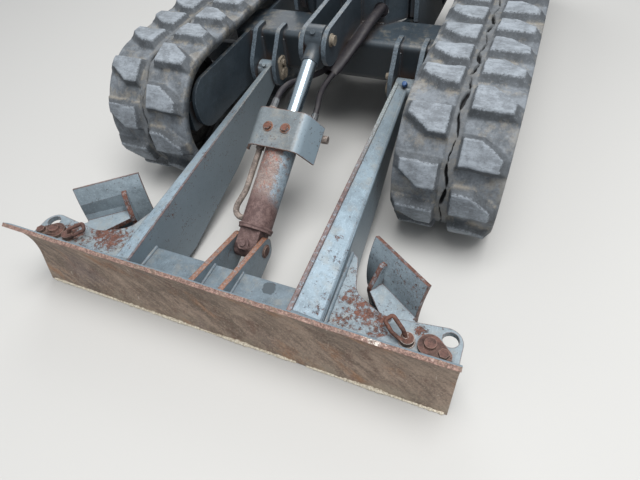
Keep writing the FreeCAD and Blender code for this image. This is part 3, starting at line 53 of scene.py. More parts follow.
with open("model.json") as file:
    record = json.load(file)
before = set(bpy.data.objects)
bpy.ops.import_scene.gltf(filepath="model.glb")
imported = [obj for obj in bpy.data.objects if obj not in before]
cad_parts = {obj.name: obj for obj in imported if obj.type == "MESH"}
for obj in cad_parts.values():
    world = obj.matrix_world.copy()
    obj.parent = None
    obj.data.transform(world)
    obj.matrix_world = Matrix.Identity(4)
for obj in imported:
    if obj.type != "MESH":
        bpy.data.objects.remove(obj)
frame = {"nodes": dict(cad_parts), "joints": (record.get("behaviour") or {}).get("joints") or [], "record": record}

X_AXIS = Vector((1, 0, 0))
Y_AXIS = Vector((0, 1, 0))
Z_AXIS = Vector((0, 0, 1))
SIDES = (("left", 1), ("right", -1))
JOINTS = {joint["name"]: joint for joint in frame["joints"]}


def middle(node):
    """Middle of a part's box."""
    low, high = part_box(node)
    return (low + high) / 2


def rgb(red, green, blue):
    """Linear colour from 8-bit display values."""
    def linear(value):
        share = value / 255
        return share / 12.92 if share <= 0.04045 else ((share + 0.055) / 1.055) ** 2.4
    return linear(red), linear(green), linear(blue)


# Places that the pieces share, worked out from the frame
ARM_PIVOT = Vector(JOINTS["blade_lift"]["pos_m"])
LIFT_FOOT = Vector(JOINTS["cylinder_swing"]["pos_m"])
LIFT_AXIS = Vector(JOINTS["rod_stroke"]["axis"])
LIFT_UP = X_AXIS.cross(LIFT_AXIS)
SLEW_CENTRE = middle("slew_ring_outer")
EDGE_MIDDLE = Vector((0, ARM_PIVOT.y - 0.725, 0))       # middle of the blade's bottom edge, on the floor
LUG_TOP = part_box("blade_lug_left")[1].z
TOP_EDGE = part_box("moldboard")[1].z
TRACK_X = middle("rubber_track_left").x
FRONT_PLATE_Y = 0.860                                   # front of the centre frame, from the blade's edge


def from_edge(x, y, z):
    """A place counted from the middle of the blade's bottom edge."""
    return EDGE_MIDDLE + Vector((x, y, z))


def on_lift(x, along, up):
    """A place counted from the foot of the lift cylinder, along it and up from it."""
    return LIFT_FOOT + X_AXIS * x + LIFT_AXIS * along + LIFT_UP * up


# Sizes and colours that a user would change

def colour_setting(name, red, green, blue, description):
    """Colour in the panel, from 8-bit display values."""
    default = rgb(red, green, blue)
    return FloatVectorProperty(name=name, description=description, subtype="COLOR", default=default)


def length_setting(name, default, description):
    """Length in the panel, in metres."""
    return FloatProperty(name=name, description=description, unit="LENGTH", default=default)


def angle_setting(name, degrees, description):
    """Angle in the panel."""
    return FloatProperty(name=name, description=description, subtype="ANGLE", default=math.radians(degrees))


def power_setting(name, default, description):
    """Power of a lamp in the panel."""
    return FloatProperty(name=name, description=description, subtype="POWER", default=default)


class StageSettings(bpy.types.PropertyGroup):
    """Floor, light and camera."""
    floor_colour: colour_setting("Floor colour", 192, 191, 188, "Colour of the floor")
    sky_strength: FloatProperty(
        name="Sky strength", description="Even light from all round", default=0.54, min=0)
    key_power: power_setting("Key power", 125, "Power of the soft lamp above the blade")
    fill_power: power_setting("Fill power", 30, "Power of the soft lamp behind")
    lens: FloatProperty(
        name="Lens", description="Focal length of the camera in millimetres", default=26.56, min=1)
    yaw: angle_setting("Yaw", -27.49, "Turn of the camera to the machine's right")
    pitch: angle_setting("Pitch", 48.67, "Tilt of the camera downwards")
    roll: angle_setting("Roll", 6.89, "Turn of the camera about its view")
    camera_place: FloatVectorProperty(
        name="Camera place", description="Where the camera stands", subtype="TRANSLATION",
        default=(0.4673, -1.3365, 0.9038))


class FinishSettings(bpy.types.PropertyGroup):
    """Colours of paint, rust and rubber."""
    paint: colour_setting("Blade paint", 138, 155, 166, "Blue-grey paint of the blade's arms")
    # The frame paint is the blade's blue-grey darkened as painted shade, standing in for the shadow of the upper
    # house.
    frame_paint: colour_setting("Frame paint", 52, 61, 68, "Darker paint of the frame")
    rust: colour_setting("Rust", 112, 76, 64, "Middle tone of the rust")
    blade_steel: colour_setting("Blade steel", 140, 123, 109, "Bare steel of the blade's face")
    rubber: colour_setting("Rubber", 96, 101, 106, "Worn rubber of the tracks")
    dust: colour_setting("Dust", 152, 143, 127, "Dried dirt")
    hose: colour_setting("Hose", 34, 31, 36, "Cover of the hoses")


class TrackSettings(bpy.types.PropertyGroup):
    """Sizes of the rubber tracks."""
    links: IntProperty(name="Links", description="Number of lugs in each row of a track", default=35)
    pitch: length_setting("Pitch", 0.096, "Distance from lug to lug along the belt")
    belt_thickness: length_setting("Belt thickness", 0.021, "From the belt's inside to the foot of the lugs")
    strip: length_setting("Middle strip", 0.006, "Height of the strip between the rows of lugs")
    lug_height: length_setting("Lug height", 0.022, "From the belt to the lugs' flat tops")
    lug_draft: length_setting("Lug draft", 0.017, "How far a lug's hollow flank reaches out")
    crack_depth: length_setting("Crack depth", 0.015, "Depth of the splits along the middle strip")
    crack_width: length_setting("Crack width", 0.0036, "Half the width of a split")
    wear: length_setting("Wear", 0.0035, "How far the lugs' edges are chipped")
    horn_height: length_setting("Horn height", 0.022, "Height of the guide horns inside")


class PlateSettings(bpy.types.PropertyGroup):
    """Dents of the blade and sizes of the welds."""
    dent: length_setting("Dent", 0.0016, "How far the blade's plate is bent out of true")
    weld: length_setting("Weld", 0.0055, "Radius of a weld")
    crust: length_setting("Crust", 0.0042, "Size of the clay along the bottom edge")


# Finishes

class Surface:
    """Node graph of one finish, and the tone that it has so far."""

    def __init__(self, name, tone=None):
        self.material = bpy.data.materials.new(name)
        self.material.use_nodes = True
        self.nodes = self.material.node_tree.nodes
        self.links = self.material.node_tree.links
        self.shader = self.nodes["Principled BSDF"]
        origin = self.add("ShaderNodeTexCoord")
        self.place = origin.outputs["Object"]
        self.facing = origin.outputs["Normal"]
        self.tone = tone

    def add(self, kind, inputs=None, **settings):
        """A new node, with its settings and its inputs by name or number."""
        node = self.nodes.new(kind)
        for key, value in settings.items():
            setattr(node, key, value)
        for key, value in (inputs or {}).items():
            self.feed(node.inputs[key], value)
        return node

    def feed(self, socket, value):
        """Links a socket or sets its value."""
        if isinstance(value, bpy.types.NodeSocket):
            self.links.new(value, socket)
        elif socket.type == "RGBA":
            socket.default_value = (*value, 1.0)
        else:
            socket.default_value = value

    def noise(self, scale, detail, roughness, shift=0.0, stretch=(1, 1, 1), lean=0):
        """Cloudy noise from 0 to 1: waves to the metre, stretched along the axes, leaning by some degrees."""
        where = self.add("ShaderNodeMapping", {"Vector": self.place, "Scale": tuple(1 / s for s in stretch),
                                               "Location": (shift, shift, shift),
                                               "Rotation": (0, math.radians(lean), 0)},
                         vector_type="TEXTURE").outputs[0]
        return self.add("ShaderNodeTexNoise", {"Vector": where, "Scale": scale, "Detail": detail,
                                               "Roughness": roughness}).outputs[0]

    def step(self, value, low, high):
        """Smooth step from 0 at low to 1 at high."""
        return self.add("ShaderNodeMapRange", {"Value": value, "From Min": low, "From Max": high},
                        interpolation_type="SMOOTHSTEP").outputs[0]

    def ramp(self, value, low, high):
        """Number from low to high as a value goes from 0 to 1."""
        return self.add("ShaderNodeMapRange", {"Value": value, "To Min": low, "To Max": high}).outputs[0]

    def math(self, operation, first, second):
        """One sum on two numbers, held between 0 and 1."""
        made = self.add("ShaderNodeMath", {0: first, 1: second}, operation=operation, use_clamp=True)
        return made.outputs[0]

    def times(self, first, second):
        """Product of two numbers."""
        return self.math("MULTIPLY", first, second)

    def plus(self, first, second):
        """Sum of two numbers, at most 1."""
        return self.math("ADD", first, second)

    def rest(self, value):
        """What a number lacks to 1."""
        return self.math("SUBTRACT", 1.0, value)

    def weighed(self, first, first_share, second, second_share):
        """Sum of a share of one number and a share of another."""
        return self.plus(self.times(first, first_share), self.times(second, second_share))

    def mix(self, share, first, second):
        """Mix of two colours."""
        return self.add("ShaderNodeMix", {0: share, 6: first, 7: second}, data_type="RGBA").outputs[2]

    def between(self, value, low, high, first, second):
        """Colour that goes from one to another while a value goes from low to high."""
        return self.mix(self.step(value, low, high), first, second)

    def cloudy(self, colour, value, low, high, darker, lighter):
        """A colour that goes from darker to lighter while a value goes from low to high."""
        return self.between(value, low, high, scaled(colour, darker), scaled(colour, lighter))

    def over(self, tone, colour, value, low=None, high=None, share=1.0):
        """A colour laid over another where a value, or its step from low to high, is 1."""
        if low is not None:
            value = self.step(value, low, high)
        if share != 1.0:
            value = self.times(value, share)
        return self.mix(value, tone, colour)

    def tint(self, *layer):
        """Lays a colour over the tone so far."""
        self.tone = self.over(self.tone, *layer)

    def shades(self, colour, *rows):
        """Lays darker and lighter versions of a colour over the tone; each row is a factor and a layer."""
        for factor, *layer in rows:
            self.tint(scaled(colour, factor), *layer)

    def height(self, axis=2):
        """Place along one axis, in metres."""
        return self.add("ShaderNodeSeparateXYZ", {0: self.place}).outputs[axis]

    def turned(self, axis, low, high):
        """1 where the surface looks along an axis."""
        return self.step(self.add("ShaderNodeSeparateXYZ", {0: self.facing}).outputs[axis], low, high)

    def upward(self, low=0.5, high=0.9):
        """1 where the surface looks up."""
        return self.turned(2, low, high)

    def edge(self, radius, low=0.02, high=0.25):
        """1 along sharp edges."""
        soft = self.add("ShaderNodeBevel", {"Radius": radius}, samples=4).outputs[0]
        hard = self.add("ShaderNodeNewGeometry").outputs["Normal"]
        dot = self.add("ShaderNodeVectorMath", {0: soft, 1: hard}, operation="DOT_PRODUCT").outputs["Value"]
        return self.step(self.rest(dot), low, high)

    def corner(self, distance):
        """1 in corners and under other pieces."""
        open_share = self.add("ShaderNodeAmbientOcclusion", {"Distance": distance}, samples=4).outputs["AO"]
        return self.rest(open_share)

    def near(self, place, reach):
        """1 at a place, falling to 0 at its reach."""
        away = self.add("ShaderNodeVectorMath", {0: self.place, 1: place}, operation="DISTANCE")
        return self.step(away.outputs["Value"], reach, 0.0)

    def attribute(self, name):
        """Number kept on the mesh."""
        return self.add("ShaderNodeAttribute", attribute_name=name).outputs["Fac"]

    def close(self, roughness, metallic=0.0, relief=None, depth=0.001, strength=0.6, bevel=0.0):
        """Wires the shader and gives the finished material."""
        self.feed(self.shader.inputs["Base Color"], self.tone)
        self.feed(self.shader.inputs["Roughness"], roughness)
        self.feed(self.shader.inputs["Metallic"], metallic)
        normal = None
        if bevel:
            normal = self.add("ShaderNodeBevel", {"Radius": bevel}, samples=4).outputs[0]
        if relief is not None:
            bump = self.add("ShaderNodeBump", {"Height": relief, "Distance": depth, "Strength": strength})
            if normal:
                self.feed(bump.inputs["Normal"], normal)
            normal = bump.outputs[0]
        if normal:
            self.feed(self.shader.inputs["Normal"], normal)
        return self.material


def scaled(colour, factor):
    """Lighter or darker version of a colour."""
    return tuple(min(1.0, channel * factor) for channel in colour)


def blended(first, second, share):
    """Colour between two others."""
    return tuple(a + (b - a) * share for a, b in zip(first, second))


def rust_colour(surface, rust):
    """Rust in three tones: dark pits, brown and orange bloom."""
    cloud = surface.noise(60, 7, 0.75, 3.0)
    grain = surface.noise(300, 5, 0.75, 5.0)
    bloom = (rust[0] * 1.65, rust[1] * 1.55, rust[2] * 1.5)
    tone = surface.cloudy(rust, cloud, 0.4, 0.6, 0.42, 0.95)
    tone = surface.over(tone, bloom, grain, 0.52, 0.66, 0.8)
    return surface.over(tone, scaled(rust, 0.3), grain, 0.46, 0.34, 0.6)


def painted(name, colour, looks, spots=0.6, wear=0.7, grime=0.5, cut=0.8, edge=None, patches=(),
            dark_spots=(), rear_darkening=None, painted_lit_side=0.0, wall_shade=1.0):
    """Paint on steel plate: cloudy, chipped at the edges, spotted with rust, with dirt and painted shade in the
    corners; it can also paint shade on upright faces and light on faces turned to +X.
    """
    rust, dust = tuple(looks.rust), tuple(looks.dust)
    surface = Surface(name)
    cloud = surface.noise(7, 6, 0.62)
    mottle = surface.noise(45, 8, 0.75, 6.0)
    fine = surface.noise(260, 5, 0.75, 1.0)
    surface.tone = surface.cloudy(colour, cloud, 0.32, 0.7, 0.78, 1.16)
    surface.shades(colour, (1.45, mottle, 0.5, 0.7, 0.5), (0.5, mottle, 0.5, 0.32, 0.5),
                   (1.7, fine, 0.5, 0.7, 0.45))
    # Painted light: faces turned towards +X are lightened towards the blade paint, as if lit.
    if painted_lit_side:
        surface.tint(scaled(looks.paint, painted_lit_side), surface.times(surface.turned(0, 0.25, 0.5), 0.75))
    scratch = surface.noise(60, 4, 0.6, 8.0, stretch=(5, 0.6, 5))
    surface.tint(scaled(colour, 1.6), scratch, 0.6, 0.66, 0.4)
    # Painted shade: upright faces are darkened to a share of the paint colour.
    if wall_shade < 1.0:
        upright = surface.rest(surface.upward(0.25, 0.6))
        surface.tint(scaled(colour, wall_shade), surface.times(upright, 0.85))
    # Darker towards the rear between two places along Y, with greyer worn edges there.
    if rear_darkening:
        start, end, share = rear_darkening
        surface.tint(scaled(blended(colour, dust, 0.2), 0.5), surface.height(1), start, end, share)
    dusty = surface.times(surface.upward(), surface.step(surface.noise(24, 6, 0.75, 2.0), 0.48, 0.66))
    surface.tint(dust, surface.times(dusty, 0.3))
    # Dirt mixed with painted shade: darker where the corner mask finds corners and faces under other pieces.
    surface.tint(scaled(blended(rust, dust, 0.3), 0.45), surface.corner(0.03), 0.3, 0.9, grime)
    for place, reach in dark_spots:
        ragged = surface.weighed(surface.near(place, reach), 0.5, mottle, 0.6)
        surface.tint(scaled(colour, 0.42), ragged, 0.56, 0.6)
    cluster = surface.noise(8, 4, 0.6, 7.0)
    crowded = surface.times(surface.step(cluster, 0.4, 0.7), 0.06)
    dark_seeds = surface.plus(surface.noise(170, 3, 0.6, 9.0), crowded)
    fewer = 0.05 * spots
    surface.tint(scaled(blended(colour, rust, 0.6), 0.35), dark_seeds, 0.70 - fewer, 0.74 - fewer, 0.75)
    spread = surface.noise(95, 10, 0.86, 4.0)
    seeds = surface.plus(spread, surface.times(surface.step(cluster, 0.45, 0.7), 0.09))
    eaten = surface.step(seeds, 0.71 - 0.09 * spots, 0.74 - 0.09 * spots)
    for place, reach, amount in patches:
        around = surface.times(surface.near(place, reach), amount)
        eaten = surface.math("MAXIMUM", eaten, surface.step(surface.plus(spread, around), 0.68, 0.73))
    rim = surface.step(surface.weighed(surface.edge(0.004), wear, spread, 0.55), 0.58, 0.70)
    bare = surface.times(surface.times(surface.attribute("cut"), cut), surface.step(spread, 0.38, 0.5))
    surface.tint(rust_colour(surface, rust), eaten)
    if edge:
        rim_colour = surface.cloudy(edge, fine, 0.4, 0.6, 0.6, 1.35)
    else:
        rim_colour = rust_colour(surface, rust)
    if rear_darkening:
        worn = surface.between(fine, 0.4, 0.6, rgb(104, 106, 100), rgb(166, 174, 176))
        rim_colour = surface.between(surface.height(1), start + 0.1, end - 0.1, rim_colour, worn)
    surface.tint(rim_colour, surface.math("MAXIMUM", rim, bare))
    eaten = surface.math("MAXIMUM", eaten, rim)
    relief = surface.weighed(surface.rest(eaten), 0.5, mottle, 0.3)
    rough = surface.ramp(eaten, 0.40, 0.86)
    return surface.close(rough, relief=relief, depth=0.0012, strength=0.7, bevel=0.0018)


def blade_face(name, looks):
    """The blade's plate: rubbed rust in front, worn pink along the top, paint behind, clay low down."""
    steel, rust, dust, paint = (tuple(c) for c in (looks.blade_steel, looks.rust, looks.dust, looks.paint))
    surface = Surface(name)
    streak = surface.noise(30, 8, 0.78, stretch=(0.5, 1, 2.6), lean=32)
    cloud = surface.noise(7, 7, 0.7, 3.0)
    fine = surface.noise(240, 6, 0.85, 2.0)
    orange = surface.noise(12, 7, 0.7, 5.0, stretch=(0.7, 1, 1.6), lean=30)
    scratch = surface.noise(70, 3, 0.5, 11.0, stretch=(1.2, 1, 0.12))
    surface.tone = surface.cloudy(steel, cloud, 0.34, 0.66, 0.66, 1.2)
    surface.shades(steel, (1.7, streak, 0.48, 0.62, 0.6), (0.42, streak, 0.49, 0.36, 0.6))
    surface.tint(rgb(164, 116, 78), orange, 0.52, 0.68, 0.6)
    surface.tint(rgb(108, 96, 98), surface.noise(6, 5, 0.6, 14.0), 0.52, 0.66, 0.45)
    surface.tint(scaled(rust, 0.75), surface.noise(21, 8, 0.75, 8.0), 0.5, 0.66, 0.55)
    surface.shades(steel, (2.3, fine, 0.51, 0.68, 0.6), (0.28, fine, 0.48, 0.34, 0.65))
    low = surface.times(surface.step(surface.height(2), 0.06, 0.008), surface.step(cloud, 0.4, 0.6))
    surface.tint(scaled(dust, 0.95), surface.times(low, 0.5))
    surface.tint(rgb(206, 194, 180), scratch, 0.7, 0.73, 0.7)
    rim = surface.step(surface.height(2), TOP_EDGE - 0.004, TOP_EDGE - 0.001)
    top = surface.step(surface.plus(surface.attribute("cut"), rim), 0.3, 0.8)
    lip = surface.between(fine, 0.42, 0.62, rgb(100, 76, 68), rgb(172, 142, 130))
    surface.tint(lip, surface.times(top, surface.step(streak, 0.38, 0.5)))
    scuff = surface.times(surface.near(from_edge(0.352, -0.004, TOP_EDGE), 0.036), 0.16)
    surface.tint(rgb(228, 222, 212), surface.plus(scuff, surface.noise(150, 7, 0.85, 12.0)), 0.62, 0.68)
    chips = surface.step(surface.noise(48, 8, 0.75, 4.0), 0.62, 0.58)
    behind = surface.turned(1, 0.3, 0.5)
    surface.tint(scaled(paint, 0.8), surface.times(behind, chips))
    return surface.close(0.7, relief=surface.weighed(streak, 0.6, fine, 0.4), depth=0.0018, strength=0.85,
                         bevel=0.0015)


def rusty_tube(name, looks):
    """The cylinder's barrel: pink-grey speckles, rust red above, blue-grey on its left, purple below."""
    rust, paint = tuple(looks.rust), tuple(looks.paint)
    surface = Surface(name)
    speckle = surface.noise(300, 6, 0.85)
    mottle = surface.noise(60, 8, 0.8, 6.0)
    cloud = surface.noise(22, 7, 0.7, 3.0)
    blotch = surface.noise(110, 8, 0.8, 16.0)
    side = surface.turned(0, 0.25, 0.85)
    along = surface.height(1)
    surface.tone = surface.between(cloud, 0.36, 0.64, rgb(116, 98, 93), rgb(146, 131, 124))
    blue = surface.cloudy(paint, cloud, 0.4, 0.6, 0.75, 1.2)
    surface.tint(blue, surface.weighed(side, 0.2, mottle, 1.2), 0.64, 0.8)
    surface.tint(rgb(186, 174, 168), speckle, 0.53, 0.66, 0.6)
    upper = surface.step(along, LIFT_FOOT.y + 0.12, LIFT_FOOT.y + 0.27)
    redder = surface.plus(blotch, surface.times(upper, 0.10))
    redder = surface.math("SUBTRACT", redder, surface.times(side, 0.12))
    surface.tint(rgb(150, 92, 76), redder, 0.53, 0.60, 0.85)
    foot = surface.step(along, LIFT_FOOT.y + 0.14, LIFT_FOOT.y + 0.03)
    dark = surface.between(mottle, 0.4, 0.6, rgb(84, 64, 62), rgb(118, 96, 92))
    surface.tint(dark, surface.weighed(foot, 0.6, mottle, 0.5), 0.40, 0.66)
    surface.tint(scaled(rust, 0.4), speckle, 0.49, 0.36, 0.8)
    return surface.close(0.7, relief=speckle, depth=0.0012, strength=0.8, bevel=0.0015)


def rusted(name, rust, edge_rub_highlight_colour, dust, edge_rub_highlight_share):
    """Bare steel that has rusted and been rubbed: bright rubbed edges that are partly a painted highlight, and
    dirt with painted shade in the corners.
    """
    surface = Surface(name)
    cloud = surface.noise(45, 8, 0.75)
    fine = surface.noise(260, 6, 0.8, 2.0)
    surface.tone = surface.cloudy(rust, cloud, 0.38, 0.62, 0.45, 1.2)
    surface.shades(rust, (2.2, fine, 0.5, 0.68, 0.6), (0.25, fine, 0.48, 0.34, 0.5))
    # Rubbed edges, lightened further as a painted highlight.
    surface.tint(edge_rub_highlight_colour, surface.times(surface.edge(0.003), edge_rub_highlight_share * 2))
    # Dirt mixed with painted shade in corners and under other pieces.
    surface.tint(scaled(dust, 0.4), surface.corner(0.02), 0.3, 0.8, 0.5)
    return surface.close(0.72, relief=fine, depth=0.0009, strength=0.7, bevel=0.0015)


def metal(name, colour, roughness, grime, dirty=0.3, metallic=1.0):
    """Bare machined steel with some dirt on it."""
    surface = Surface(name, colour)
    cloud = surface.noise(40, 6, 0.7)
    surface.tint(grime, cloud, 0.45, 0.7, dirty)
    rough = surface.ramp(cloud, roughness * 0.7, roughness * 1.5)
    return surface.close(rough, metallic=metallic, relief=cloud, depth=0.0002, strength=0.3, bevel=0.001)


def chromed(name):
    """Hard chrome with a film of oil and dirt, tinted light blue as a painted reflection of the sky."""
    # Light blue base colour: painted reflection of the sky.
    surface = Surface(name, rgb(184, 200, 210))
    wipe = surface.noise(30, 5, 0.6, stretch=(1, 0.3, 0.3))
    surface.tint(rgb(110, 104, 94), wipe, 0.5, 0.68, 0.35)
    return surface.close(surface.ramp(wipe, 0.2, 0.34), metallic=1.0)


def track_rubber(name, looks):
    """Track rubber: pale and scuffed crowns with a painted highlight along their rims, dark flanks, dusty valleys
    and black splits.
    """
    colour, dust = tuple(looks.rubber), tuple(looks.dust)
    surface = Surface(name)
    crown = surface.attribute("crown")
    fine = surface.noise(210, 6, 0.75)
    cloud = surface.noise(24, 7, 0.7, 2.0)
    scuff = surface.noise(60, 7, 0.8, 6.0, stretch=(0.6, 1.8, 1.8))
    dusted = surface.noise(19, 7, 0.75, 4.0)
    surface.tone = surface.cloudy(colour, cloud, 0.3, 0.7, 0.42, 0.85)
    surface.tint(surface.cloudy(colour, cloud, 0.36, 0.64, 0.75, 1.5), crown, 0.42, 0.08)
    top = surface.cloudy(colour, cloud, 0.38, 0.62, 1.3, 2.2)
    top = surface.over(top, scaled(colour, 2.9), scuff, 0.5, 0.64, 0.45)
    top = surface.over(top, scaled(colour, 0.8), scuff, 0.48, 0.36, 0.45)
    surface.tint(top, crown, 0.93, 0.995)
    # Painted highlight: a thin pale line along the crowns' rims.
    rim = surface.times(surface.step(crown, 0.84, 0.94), surface.step(fine, 0.4, 0.6))
    rim = surface.times(rim, surface.step(crown, 1.0, 0.97))
    surface.tint(scaled(colour, 2.0), rim)
    valley = surface.times(surface.step(crown, 0.5, 0.2), surface.step(dusted, 0.47, 0.62))
    surface.tint(dust, surface.times(valley, 0.36))
    feet = surface.times(surface.step(crown, 0.0, 0.25), surface.step(crown, 0.7, 0.3))
    feet = surface.times(feet, surface.step(dusted, 0.5, 0.6))
    surface.tint(scaled(dust, 1.1), surface.times(feet, 0.3))
    across = surface.add("ShaderNodeMath", {0: surface.height(0)}, operation="ABSOLUTE").outputs[0]
    strip = surface.add("ShaderNodeMath", {0: across, 1: TRACK_X}, operation="SUBTRACT").outputs[0]
    strip = surface.add("ShaderNodeMath", {0: strip}, operation="ABSOLUTE").outputs[0]
    dark_strip = surface.times(surface.step(strip, 0.017, 0.009), surface.step(fine, 0.35, 0.55))
    surface.tint(blended(scaled(colour, 0.45), dust, 0.12), surface.times(dark_strip, 0.55))
    surface.shades(colour, (2.6, fine, 0.52, 0.74, 0.4), (0.35, fine, 0.48, 0.32, 0.4),
                   (0.06, crown, -0.15, -0.6))
    return surface.close(0.78, relief=fine, depth=0.0012, strength=0.6)


def hose_cover(name, looks):
    """Smooth black cover with dust on top."""
    surface = Surface(name, tuple(looks.hose))
    cloud = surface.noise(60, 5, 0.7)
    dusty = surface.times(surface.upward(0.2, 0.9), surface.step(cloud, 0.4, 0.7))
    surface.tint(scaled(looks.dust, 0.5), surface.times(dusty, 0.12))
    return surface.close(0.6, relief=cloud, depth=0.0004, strength=0.4)


def clay(name):
    """Dried clay along the bottom edge."""
    surface = Surface(name)
    grain = surface.noise(300, 6, 0.7)
    surface.tone = surface.between(grain, 0.35, 0.6, rgb(178, 166, 146), rgb(232, 224, 206))
    return surface.close(0.95, relief=grain, depth=0.001, strength=0.8)


def spots_on(z, *rows):
    """Rust patches at one height, each with its place from the edge, its reach and its strength."""
    return [(from_edge(x, y, z), reach, amount) for x, y, reach, amount in rows]


def finishes(looks):
    """All finishes, by name; those with a slot's name serve that slot."""
    # dark is the frame paint, whose colour carries painted shade of the upper house.
    paint, dark, dust = (tuple(c) for c in (looks.paint, looks.frame_paint, looks.dust))
    pale, brown = rgb(122, 136, 147), rgb(124, 86, 66)
    arm_spots = spots_on(
        0.16, (0.227, 0.045, 0.07, 0.15), (0.24, 0.073, 0.05, 0.16), (-0.249, 0.063, 0.07, 0.18))
    arm_spots += spots_on(0.18, (0.206, 0.206, 0.035, 0.17), (-0.181, 0.166, 0.07, 0.17))
    arm_spots += spots_on(0.168, (0.231, 0.120, 0.04, 0.14))
    arm_spots += spots_on(0.2, (-0.189, 0.339, 0.09, 0.15)) + spots_on(0.19, (-0.186, 0.24, 0.06, 0.15))
    lug_spots = spots_on(
        0.14, (0.305, 0.082, 0.10, 0.24), (0.340, 0.056, 0.08, 0.22), (0.272, 0.105, 0.07, 0.22),
        (0.272, 0.055, 0.08, 0.20), (0.342, 0.080, 0.04, 0.26), (0.221, 0.242, 0.025, 0.26),
        (0.413, 0.076, 0.03, 0.28), (0.437, 0.05, 0.04, 0.22), (-0.295, 0.077, 0.10, 0.27),
        (-0.328, 0.086, 0.08, 0.26), (-0.40, 0.062, 0.075, 0.28), (-0.36, 0.04, 0.08, 0.20))
    wing_spots = spots_on(0.14, (0.277, 0.231, 0.04, 0.22)) + spots_on(0.1, (0.343, 0.176, 0.06, 0.2))
    bolts = [(on_lift(-0.025, 0.269, 0.055), 0.014, 0.6), (on_lift(0.017, 0.271, 0.055), 0.014, 0.6)]
    dusty_paint = blended(paint, dust, 0.15)
    beam_looks = {"spots": 0.1, "grime": 0.7, "cut": 0.3, "edge": pale}
    weld_looks = {"wear": 0.1, "cut": 0.0}
    paints = {
        "worn_paint": (paint, {"spots": 0.9, "wear": 0.6, "patches": arm_spots, "wall_shade": 0.5,
                               "rear_darkening": (ARM_PIVOT.y - 0.55, ARM_PIVOT.y, 0.65)}),
        "lug_paint": (scaled(dusty_paint, 0.8), {"spots": 0.95, "wear": 0.6, "patches": lug_spots}),
        # Darker copy of the blade paint: partly the box plate's own darker blue, partly painted shade.
        "box_paint": (scaled(paint, 0.5), {"spots": 0.35, "wear": 0.6, "grime": 0.6,
                                           "dark_spots": [(from_edge(0.11, 0.071, 0.14), 0.032)]}),
        "bracket_paint": (scaled(paint, 0.6), {"spots": 0.5, "wear": 0.8, "cut": 1.0, "edge": brown}),
        "wing_paint": (scaled(dusty_paint, 0.88), {"spots": 0.9, "wear": 0.8, "cut": 1.0,
                                                   "patches": wing_spots}),
        "guard_paint": (scaled(blended(paint, dust, 0.25), 0.52), {
            "spots": 0.9, "wear": 0.9, "cut": 1.0, "edge": brown, "patches": bolts, "painted_lit_side": 0.95}),
        # Frame paint: its dark colour is painted shade of the upper house.
        "frame_paint": (dark, {"wear": 0.35, **beam_looks}),
        # Painted shade: the guide boxes' upright faces are darkened, on top of the frame paint's painted shade.
        "shaded_guide_paint": (dark, {"wear": 0.3, "wall_shade": 0.3, **beam_looks}),
        "bare_beam": (scaled(dark, 1.05), {"spots": 0.3, "wear": 0.6, "cut": 0.4, "edge": pale}),
        "weld_paint": (scaled(paint, 0.62), {"spots": 0.9, "grime": 0.9, **weld_looks}),
        "frame_weld": (scaled(dark, 0.9), {"spots": 0.3, "grime": 0.8, **weld_looks})}
    # Each steel: its rust, the colour of its rubbed edges with painted highlight, and that colour's share.
    steels = {
        "pin_steel": (rgb(92, 64, 56), rgb(176, 150, 136), 0.25),
        "lock_steel": (rgb(90, 58, 46), rgb(214, 204, 196), 0.4),
        "keeper_steel": (rgb(126, 116, 102), rgb(190, 184, 170), 0.25),
        "pipe_steel": (rgb(132, 120, 112), rgb(176, 168, 160), 0.25),
        "cast_iron": (rgb(70, 68, 66), rgb(150, 148, 146), 0.25)}
    made = {name: painted(name, colour, looks, **more) for name, (colour, more) in paints.items()}
    for name, (rust, edge_rub_highlight_colour, edge_rub_highlight_share) in steels.items():
        made[name] = rusted(name, rust, edge_rub_highlight_colour, dust, edge_rub_highlight_share)
    made.update({
        "rusted_steel": blade_face("rusted_steel", looks), "rusty_barrel": rusty_tube("rusty_barrel", looks),
        "crimp_steel": metal("crimp_steel", rgb(96, 98, 100), 0.4, rgb(50, 44, 38), dirty=0.7),
        "ring_steel": metal("ring_steel", rgb(150, 150, 150), 0.35, rgb(60, 54, 46), dirty=0.6),
        "blue_cap": metal("blue_cap", rgb(38, 78, 128), 0.45, rgb(60, 60, 60), metallic=0.0),
        "chrome": chromed("chrome"), "track_rubber": track_rubber("track_rubber", looks),
        "hose_rubber": hose_cover("hose_rubber", looks), "clay": clay("clay")})
    return made


FINISH = {}
NODE_FINISH = {"blade_lug_left": "lug_paint", "blade_lug_right": "lug_paint", "back_box": "box_paint",
               "lift_bracket": "bracket_paint", "wing_left": "wing_paint", "wing_right": "wing_paint",
               "head_guard": "guard_paint", "arm_pin_left": "keeper_steel", "arm_pin_right": "keeper_steel",
               "lock_pin_left": "lock_steel", "lift_pin_upper": "keeper_steel",
               "front_guide_box": "shaded_guide_paint", "rear_guide_box": "shaded_guide_paint"}
BODY_OF = {node: body for body, nodes in frame["record"]["behaviour"]["bodies"].items() for node in nodes}


class UNDERCARRIAGE_OT_finish(bpy.types.Operator):
    """Give every part of the frame its finish"""
    bl_idname = "undercarriage.finish"
    bl_label = "Finishes"

    def execute(self, context):
        FINISH.update(finishes(context.scene.undercarriage_finish))
        for part in frame["record"]["subparts"]:
            mesh = frame["nodes"][part["node"]].data
            mesh.materials.clear()
            mesh.materials.append(FINISH[NODE_FINISH.get(part["node"], part["material_slot"])])
        return {"FINISHED"}


# Making of pieces

